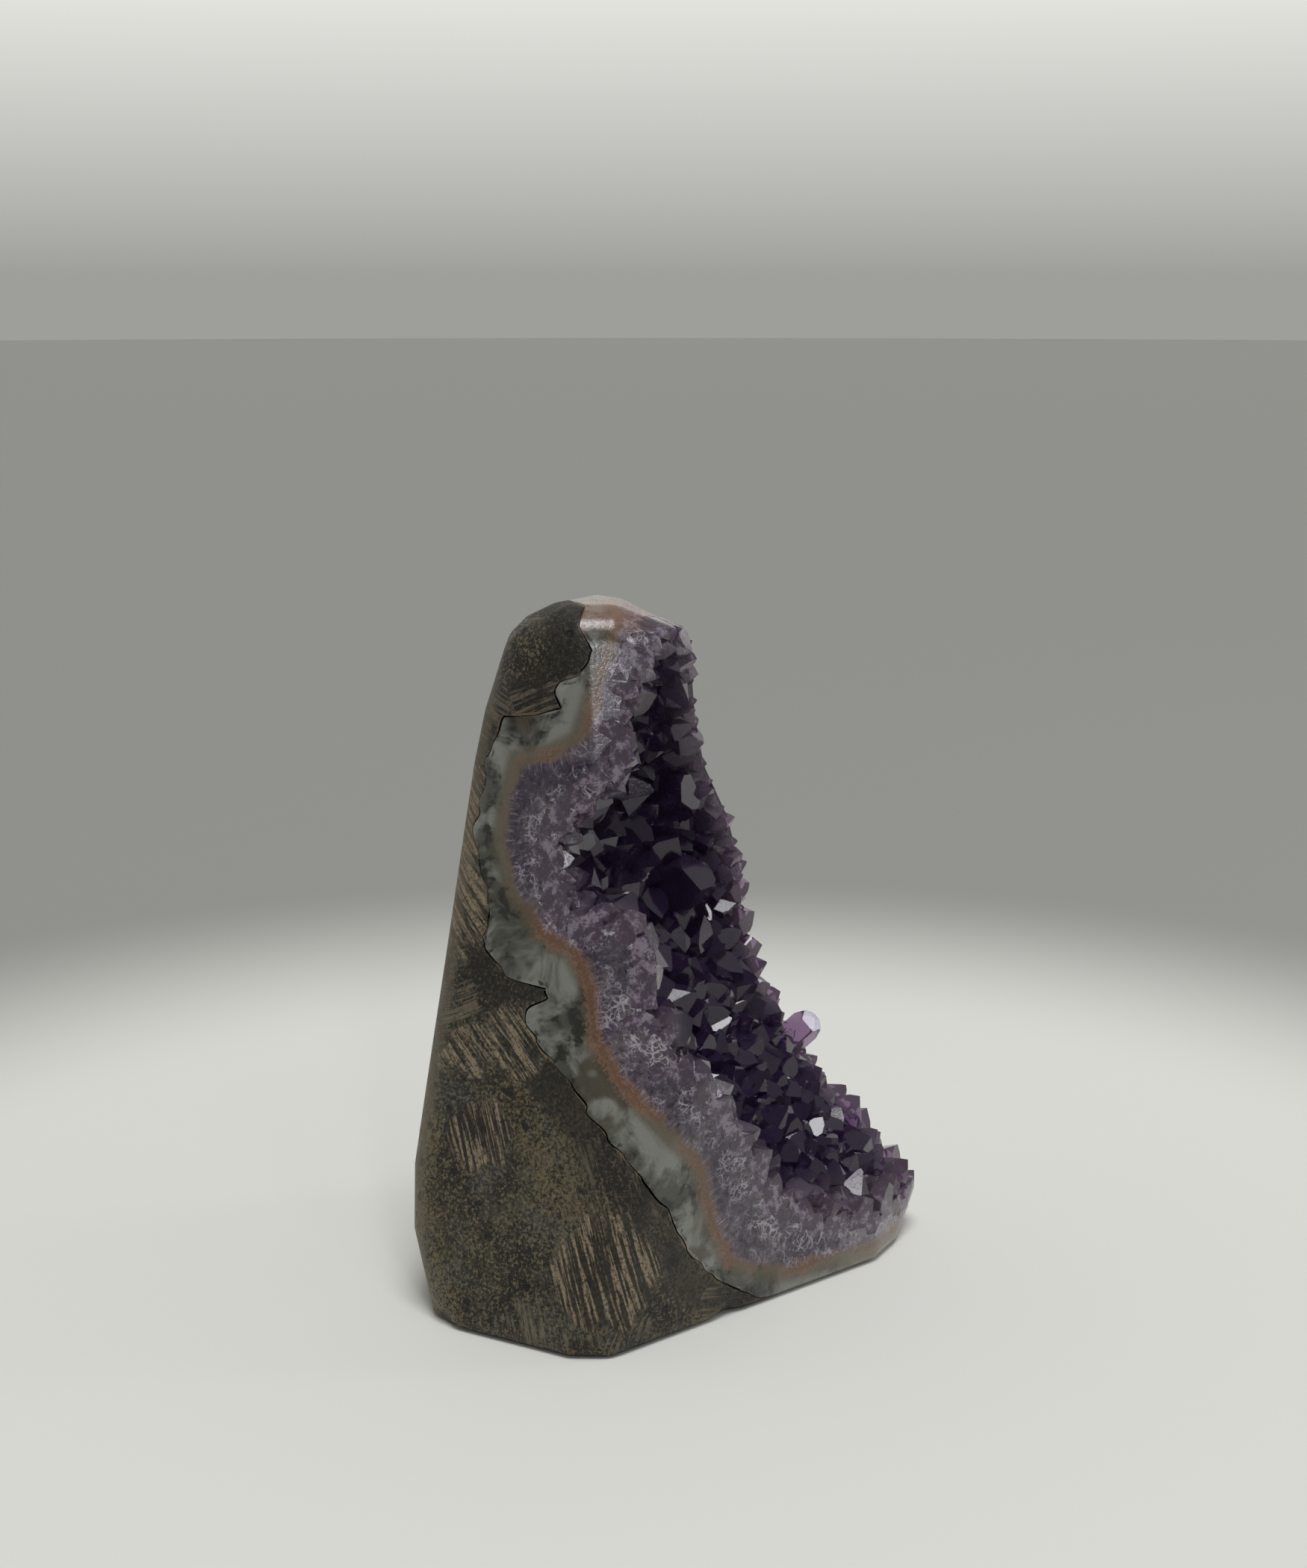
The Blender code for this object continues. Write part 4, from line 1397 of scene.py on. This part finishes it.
@dataclass
class CrystalCrust:
    """All the crystals of the hollow, grown together in one piece.

    A crystal is a six-sided prism under three large and three small faces. With the distance a
    from the axis to a side and the slope s of quartz, the large faces start at the stem's top
    and meet at a height s a above it. The small ones start higher by k s a / 2, where k is
    between 0 and 1, and cut the ridges between the large ones at a distance k a from the axis.
    """
    seed: int = 41
    crowding: float = 0.48
    slope: float = 1.27
    sink: float = 3.2
    slab_back: float = 1.3
    slab_front: float = 0.5
    tilt_spread: float = 0.42
    right_lean: float = 1.5
    right_reach: float = 6.0
    rim_margin: float = 0.5
    spread_x: tuple = (-30.0, 50.0)
    spread_z: tuple = (2.0, 112.0)
    coarse_heights: tuple = (40.0, 92.0)
    sizes: tuple[CrystalSize, ...] = (
        CrystalSize(3.4, 5.0, 3000, 5.0, 9.0),
        CrystalSize(2.4, 3.4, 9000, 2.0, 2.0),
        CrystalSize(1.4, 2.2, 16000, 0.0, 0.0),
        CrystalSize(0.8, 1.3, 20000, 0.0, 0.0),
    )
    stem_share: tuple = (0.05, 0.6)
    small_face: tuple = (0.12, 0.85)
    past_right: float = 4.0
    ground_inset: float = 0.03
    ground_turns: int = 300
    ground_rows: int = 90
    ground_fan: int = 40
    root_depth: float = 3.4
    socket_overlap: float = 0.12
    socket_reach: float = 7.0

    def grow(self, stone: GroundStone, rim: Array) -> None:
        """Scatter the feet over the hollow, the largest first, none too close to another.

        Args:
            stone: The stone that the feet must lie in.
            rim: Places along the polished rim, which the larger crystals keep away from.
        """
        rng = np.random.default_rng(self.seed)
        bowl = BOWLS[Layer.HOLLOW]
        large = np.array(LARGE_CRYSTALS)
        lean = np.stack((large[:, 4], np.zeros(len(large)), large[:, 5]), axis=1)
        tries = [(large[:, 0], large[:, 1], large[:, 2], large[:, 3], lean)]
        clear = [np.zeros(len(large))]
        clear_right = [np.zeros(len(large))]
        for size in self.sizes:
            x = rng.uniform(*self.spread_x, size.tries)
            z = rng.uniform(*self.spread_z, size.tries)
            radius = rng.uniform(size.smallest, size.greatest, size.tries)
            stem = radius * rng.uniform(*self.stem_share, size.tries)
            lean = rng.uniform(-self.tilt_spread, self.tilt_spread, (size.tries, 3))
            if size is self.sizes[0]:
                keep = (z > self.coarse_heights[0]) & (z < self.coarse_heights[1])
                x, z, radius, stem, lean = x[keep], z[keep], radius[keep], stem[keep], lean[keep]
            tries.append((x, z, radius, stem, lean))
            clear.append(np.full(len(x), size.from_rim))
            clear_right.append(np.full(len(x), size.from_right))
        x, z, radius, stem, lean = (np.concatenate(parts) for parts in zip(*tries))
        foot = np.stack((x, bowl.depth(x, z), z), axis=1)
        inside = stone.outside(foot) < -self.rim_margin
        inside &= nearest(foot, rim)[0] >= np.concatenate(clear)
        normal, distance = FACETS["right"]
        inside &= distance - foot @ np.array(normal) >= np.concatenate(clear_right)
        chosen: list[int] = []
        for number in np.flatnonzero(inside):
            if chosen:
                away = np.linalg.norm(foot[chosen] - foot[number], axis=1)
                if (away < self.crowding * (radius[chosen] + radius[number])).any():
                    continue
            chosen.append(int(number))
        to_right = distance - foot[chosen] @ np.array(normal)
        outward = self.right_lean * smooth_step(-to_right, -self.right_reach, 0.0)
        axis = bowl.normal(x[chosen], z[chosen]) + lean[chosen]
        axis += outward[:, None] * np.array(normal)
        axis /= np.linalg.norm(axis, axis=1, keepdims=True)
        self.foot, self.radius, self.stem = foot[chosen], radius[chosen], stem[chosen]
        self.small_share = rng.uniform(*self.small_face, len(chosen))
        first = np.cross(axis, rng.normal(size=axis.shape))
        first /= np.linalg.norm(first, axis=1, keepdims=True)
        self.frames = np.stack((first, np.cross(axis, first), axis), axis=1)

    def crystal_points(self, radius: Array, stem: Array, share: Array, sink: float) -> Array:
        """Corners of upright crystals, by crystal, corner and axis, from the class's formula.

        Args:
            radius: Distance of the prism's edges from the axis.
            stem: Height of the prism over the foot.
            share: Share k by which the small faces start higher.
            sink: How far the prism reaches below the foot.

        Returns:
            Array of crystals by 22 corners by 3: six at the bottom, six at the stem's top, six
            where small faces meet a side, three on the ridges, and the tip.
        """
        count = len(radius)
        points = np.zeros((count, CRYSTAL_CORNERS, 3))
        apothem = radius * math.cos(math.pi / 6.0)
        for side in range(6):
            turn = math.pi / 6.0 + side * math.pi / 3.0
            for first, height in ((0, np.full(count, -sink)), (6, stem)):
                points[:, first + side, 0] = radius * math.cos(turn)
                points[:, first + side, 1] = radius * math.sin(turn)
                points[:, first + side, 2] = height
        for third in range(3):
            turn = math.pi / 3.0 + third * 2.0 * math.pi / 3.0
            out = np.array((math.cos(turn), math.sin(turn)))
            sideways = np.array((-out[1], out[0]))
            half = (radius * (1.0 - share) / 2.0)[:, None]
            for hand, corner in ((-1.0, 12 + 2 * third), (1.0, 13 + 2 * third)):
                points[:, corner, :2] = apothem[:, None] * out + hand * half * sideways
                points[:, corner, 2] = stem + share * self.slope * apothem / 2.0
            points[:, 18 + third, :2] = (share * apothem)[:, None] * out
            points[:, 18 + third, 2] = stem + self.slope * apothem * (1.0 - share / 2.0)
        points[:, 21, 2] = stem + self.slope * apothem
        return points

    def crystal_faces(self) -> list[tuple[int, ...]]:
        """List the faces of one crystal.

        Returns:
            Corner numbers of each face: the bottom, six sides, three large faces and three
            small ones.
        """
        faces: list[tuple[int, ...]] = [(5, 4, 3, 2, 1, 0)]
        for third in range(3):
            here, before, after = 2 * third, (2 * third - 1) % 6, 2 * third + 1
            last = (third - 1) % 3
            faces.append((before, here, here + 6, before + 6))
            faces.append((here, after, after + 6, 13 + 2 * third, 12 + 2 * third, here + 6))
            faces.append((before + 6, here + 6, 12 + 2 * third, 18 + third, 21, 18 + last,
                          13 + 2 * last))
            faces.append((12 + 2 * third, 13 + 2 * third, 18 + third))
        return faces

    def corners(self, slimmer: float = 0.0) -> Array:
        """Corners of all crystals: the upright corners turned by each one's axes, plus its foot.

        Args:
            slimmer: Distance by which every crystal is made slimmer and shorter.

        Returns:
            Array of crystals by corners by 3.
        """
        upright = self.crystal_points(self.radius - slimmer, self.stem - slimmer,
                                      self.small_share, self.sink - slimmer)
        return np.einsum("nck,nkd->ncd", upright, self.frames) + self.foot[:, None, :]

    def sockets(self, rim: Array) -> list[tuple[str, bpy.types.Object]]:
        """Make cuts for the feet of the crystals at the rim, a little slimmer than they are.

        Args:
            rim: Places along the polished rim.

        Returns:
            Operation and object of each cut.
        """
        corners = self.corners(self.socket_overlap)
        near = nearest(self.foot, rim)[0] < self.socket_reach
        return [("DIFFERENCE", item) for item in self.group_objects(corners[near], "socket")]

    def group_objects(self, corners: Array, name: str) -> list[bpy.types.Object]:
        """Make one object for each group of crystals that don't touch.

        Args:
            corners: Array of crystals by corners by 3.
            name: Start of the objects' names.

        Returns:
            The objects.
        """
        faces = self.crystal_faces()
        items = []
        for number, members in enumerate(self.groups(corners)):
            shifted = [tuple(corner + CRYSTAL_CORNERS * k for corner in face)
                       for k in range(len(members)) for face in faces]
            items.append(make_object(f"{name}_{number}", corners[members].reshape(-1, 3), shifted))
        return items

    def groups(self, corners: Array) -> list[Array]:
        """Part the crystals into groups in which none can touch another.

        Two can touch when their middles are nearer than the sum of their reaches. Each crystal
        goes into the first group that holds none of those.

        Args:
            corners: Array of crystals by corners by 3.

        Returns:
            Numbers of the crystals in each group.
        """
        centre = (corners.min(axis=1) + corners.max(axis=1)) / 2.0
        reach = np.linalg.norm(corners - centre[:, None, :], axis=2).max(axis=1)
        group = np.full(len(centre), -1)
        for number in range(len(centre)):
            away = np.linalg.norm(centre - centre[number], axis=1)
            near = (away < reach + reach[number]) & (group >= 0)
            taken = set(group[near].tolist())
            group[number] = next(k for k in range(len(centre)) if k not in taken)
        return [np.flatnonzero(group == k) for k in range(group.max() + 1)]

    def ground(self, name: str, past_right: float) -> bpy.types.Object:
        """Make the worn stone a hair's breadth smaller, with its right facet moved out.

        Args:
            name: Name of the object.
            past_right: Distance by which the right facet is moved.

        Returns:
            The object, a tool to grind with.
        """
        stone = GroundStone(turns=self.ground_turns, side_rows=self.ground_rows,
                            fan_rows=self.ground_fan, inset=self.ground_inset,
                            pushed=(("right", past_right),))
        return stone.solid(name, stone.worn_grid())

    def build(self, body: Body) -> bpy.types.Object:
        """Join the crystals and a thin sheet under them, and grind them off at the rim.

        Args:
            body: Body that has the stone's surface and its curves.

        Returns:
            The crust.
        """
        bowl = BOWLS[Layer.HOLLOW]
        crust = solid_between("amethyst_crystals", bowl.moved_sheet(-self.slab_back),
                              bowl.moved_sheet(self.slab_front))
        combine(crust, [("INTERSECT", self.ground("ground_sheet", 0.0))])
        tools = [("UNION", item) for item in self.group_objects(self.corners(), "points")]
        LOG.info("crystals: %d in %d groups", len(self.foot), len(tools))
        tools.append(("INTERSECT", self.ground("ground_points", self.past_right)))
        tools.append(("INTERSECT", bowl.space_before("rooted", -self.root_depth)))
        combine(crust, tools)
        points = stone_points(crust)
        keep_field(crust, "rim_mm", nearest(points, body.polished_rim)[0])
        keep_field(crust, "depth_mm", -body.stone.outside(points))
        crust.data.materials.clear()
        crust.data.materials.append(Amethyst().material())
        crust.data.shade_flat()
        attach(crust, RIDES_ON)
        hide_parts("amethyst_crust")
        return crust


@dataclass(frozen=True)
class Lamp:
    """A round soft light: where it stands, its diameter, its power in watts and its colour."""
    name: str
    place: tuple
    size: float
    power: float
    tint: str


@dataclass
class Studio:
    """Camera at the photo's angle, a pale floor that greys away from the stone, soft light."""
    camera_at: tuple = (-292.39, -241.62, 161.93)
    looks_at: tuple = (-15.146, -8.988, 85.0)
    lens: float = 55.0
    sensor: float = 36.0
    floor_radius: float = 6000.0
    floor_rings: int = 60
    floor_turns: int = 96
    lit_floor: str = "e8e8e3"
    shaded_floor: str = "989994"
    pale_to: float = 135.0
    grey_from: float = 262.0
    sky_low: str = "9e9f9a"
    sky_high: str = "ecece7"
    sky_rise: float = 0.125
    ceiling: str = "9a9a97"
    ceiling_rise: tuple = (0.2, 0.5)
    dim_towards: tuple = (-0.766, -0.643, 0.0)
    dim_span: tuple = (-0.2, 0.7)
    dim_share: float = 0.3
    sun_strength: float = 1.6
    sun_angle: float = 26.0
    sun_place: tuple = (-130.0, -170.0, 900.0)
    lamps: tuple[Lamp, ...] = (
        Lamp("front", (-560.0, -760.0, 640.0), 100.0, 0.9, "f6f8ff"),
        Lamp("side", (520.0, -420.0, 460.0), 120.0, 0.3, "f2f5ff"),
        Lamp("high", (-120.0, -520.0, 700.0), 90.0, 0.15, "fbfbff"),
    )
    clip: tuple = (0.01, 50.0)
    floor_drop: float = 0.05
    floor_roughness: float = 0.75
    lamps_aim: tuple = (0.0, 0.0, 50.0)

    def add_camera(self) -> None:
        """Add the camera and aim it."""
        data = bpy.data.cameras.new("camera")
        data.lens = self.lens
        data.sensor_fit = "VERTICAL"
        data.sensor_height = self.sensor
        data.clip_start, data.clip_end = self.clip
        camera = bpy.data.objects.new("camera", data)
        self.aim(camera, self.camera_at, self.looks_at)
        bpy.context.scene.collection.objects.link(camera)
        bpy.context.scene.camera = camera

    def aim(self, item: bpy.types.Object, place: tuple, target: tuple) -> None:
        """Put an object at a place and turn its -Z to a target.

        Args:
            item: Camera or lamp.
            place: Where it stands, in millimetres.
            target: What it looks at, in millimetres.
        """
        here = np.array(place) * MM
        back = here - np.array(target) * MM
        back /= np.linalg.norm(back)
        right = np.cross((0.0, 0.0, 1.0), back)
        right /= np.linalg.norm(right)
        up = np.cross(back, right)
        matrix = np.eye(4)
        matrix[:3, :3] = np.stack((right, up, back), axis=1)
        matrix[:3, 3] = here
        item.matrix_world = Matrix(matrix.tolist())

    def add_area(self, lamp: Lamp) -> None:
        """Add a round soft light that looks at the stone.

        Args:
            lamp: The light.
        """
        data = bpy.data.lights.new(lamp.name, "AREA")
        data.shape = "DISK"
        data.size = lamp.size * MM
        data.energy = lamp.power
        data.color = linear(lamp.tint)[:3]
        item = bpy.data.objects.new(lamp.name, data)
        self.aim(item, lamp.place, self.lamps_aim)
        bpy.context.scene.collection.objects.link(item)

    def add_sun(self) -> None:
        """Add an even light from a wide patch of the ceiling.

        Its place says only from which side it shines.
        """
        data = bpy.data.lights.new("overhead", "SUN")
        data.energy = self.sun_strength
        data.angle = math.radians(self.sun_angle)
        item = bpy.data.objects.new("overhead", data)
        self.aim(item, self.sun_place, self.lamps_aim)
        bpy.context.scene.collection.objects.link(item)

    def add_floor(self) -> None:
        """Lay a round floor whose rings have radii that grow with the square of their number."""
        rings = self.floor_radius * (np.arange(1, self.floor_rings + 1) / self.floor_rings) ** 2
        turns = np.linspace(0.0, 2.0 * math.pi, self.floor_turns, endpoint=False)
        x = rings[:, None] * np.cos(turns)
        y = rings[:, None] * np.sin(turns)
        points = np.stack((x, y, np.full_like(x, -self.floor_drop)), axis=-1).reshape(-1, 3)
        points = np.concatenate((points, [[0.0, 0.0, -self.floor_drop]]))
        quads = grid_quads(self.floor_rings, self.floor_turns, closed=True)[:, ::-1].tolist()
        last = len(points) - 1
        fan = [(last, k, (k + 1) % self.floor_turns) for k in range(self.floor_turns)]
        floor = make_object("floor", points + MIDDLE, quads + fan)
        material, tree, shader = principled("floor_painted_light")
        place = add_node(tree, "TexCoord", {}, {}, "Object")
        away = add_node(tree, "VectorMath", {"operation": "LENGTH"}, {0: place}, "Value")
        # Painted light and shade: the floor is pale round the stone like a pool of light and painted
        # grey from further off, where the room is in shade.
        colour = layer_over(tree, linear(self.lit_floor), self.shaded_floor, away,
                            (self.pale_to * MM, self.grey_from * MM))
        fill_shader(tree, shader, {"Base Color": colour, "Roughness": self.floor_roughness})
        floor.data.materials.append(material)

    def add_sky(self) -> None:
        """Light the room softly: grey at the horizon, pale overhead, dimmer on one side.

        The dimmer side keeps the stone's facing planes dark, as in a room lit from above, and
        isn't seen itself.
        """
        world = bpy.data.worlds.new("soft_room")
        bpy.context.scene.world = world
        world.use_nodes = True
        tree = world.node_tree
        way = add_node(tree, "TexCoord", {}, {}, "Generated")
        height = add_node(tree, "SeparateXYZ", {}, (way,), "Z")
        share = add_node(tree, "MapRange", {}, (height, 0.0, self.sky_rise))
        colour = add_node(tree, "Mix", COLOURS, {0: share, 6: linear(self.sky_low),
                                                 7: linear(self.sky_high)}, 2)
        colour = layer_over(tree, colour, self.ceiling, height, self.ceiling_rise)
        behind = add_node(tree, "VectorMath", {"operation": "DOT_PRODUCT"},
                          (way, self.dim_towards), "Value")
        dimmed = add_node(tree, "MapRange", SMOOTH, (behind, *self.dim_span, 1.0, self.dim_share))
        seen = add_node(tree, "LightPath", {}, {}, "Is Camera Ray")
        strength = add_node(tree, "Math", {"operation": "MAXIMUM"}, (dimmed, seen))
        background = next(node for node in tree.nodes if node.type == "BACKGROUND")
        tree.links.new(colour, background.inputs["Color"])
        tree.links.new(strength, background.inputs["Strength"])

    def build(self) -> None:
        """Add the camera, the floor, the sky and the lights."""
        self.add_camera()
        self.add_floor()
        self.add_sky()
        self.add_sun()
        for lamp in self.lamps:
            self.add_area(lamp)
        bpy.context.scene.view_settings.view_transform = "Standard"


def report(item: bpy.types.Object) -> None:
    """Log a piece's name and its number of triangles.

    Args:
        item: The finished piece.
    """
    count = sum(len(face.vertices) - 2 for face in item.data.polygons)
    LOG.info("%s: %d triangles", item.name, count)


def main() -> None:
    """Build the studio and the pieces in order and report each."""
    logging.basicConfig(level=logging.INFO, format="%(message)s")
    Studio().build()
    body = Body(GroundStone())
    report(body.build_basalt())
    crust = CrystalCrust()
    crust.grow(body.stone, body.polished_rim)
    report(body.build_rind(crust.sockets(body.polished_rim)))
    report(crust.build(body))


if __name__ == "__main__":
    main()
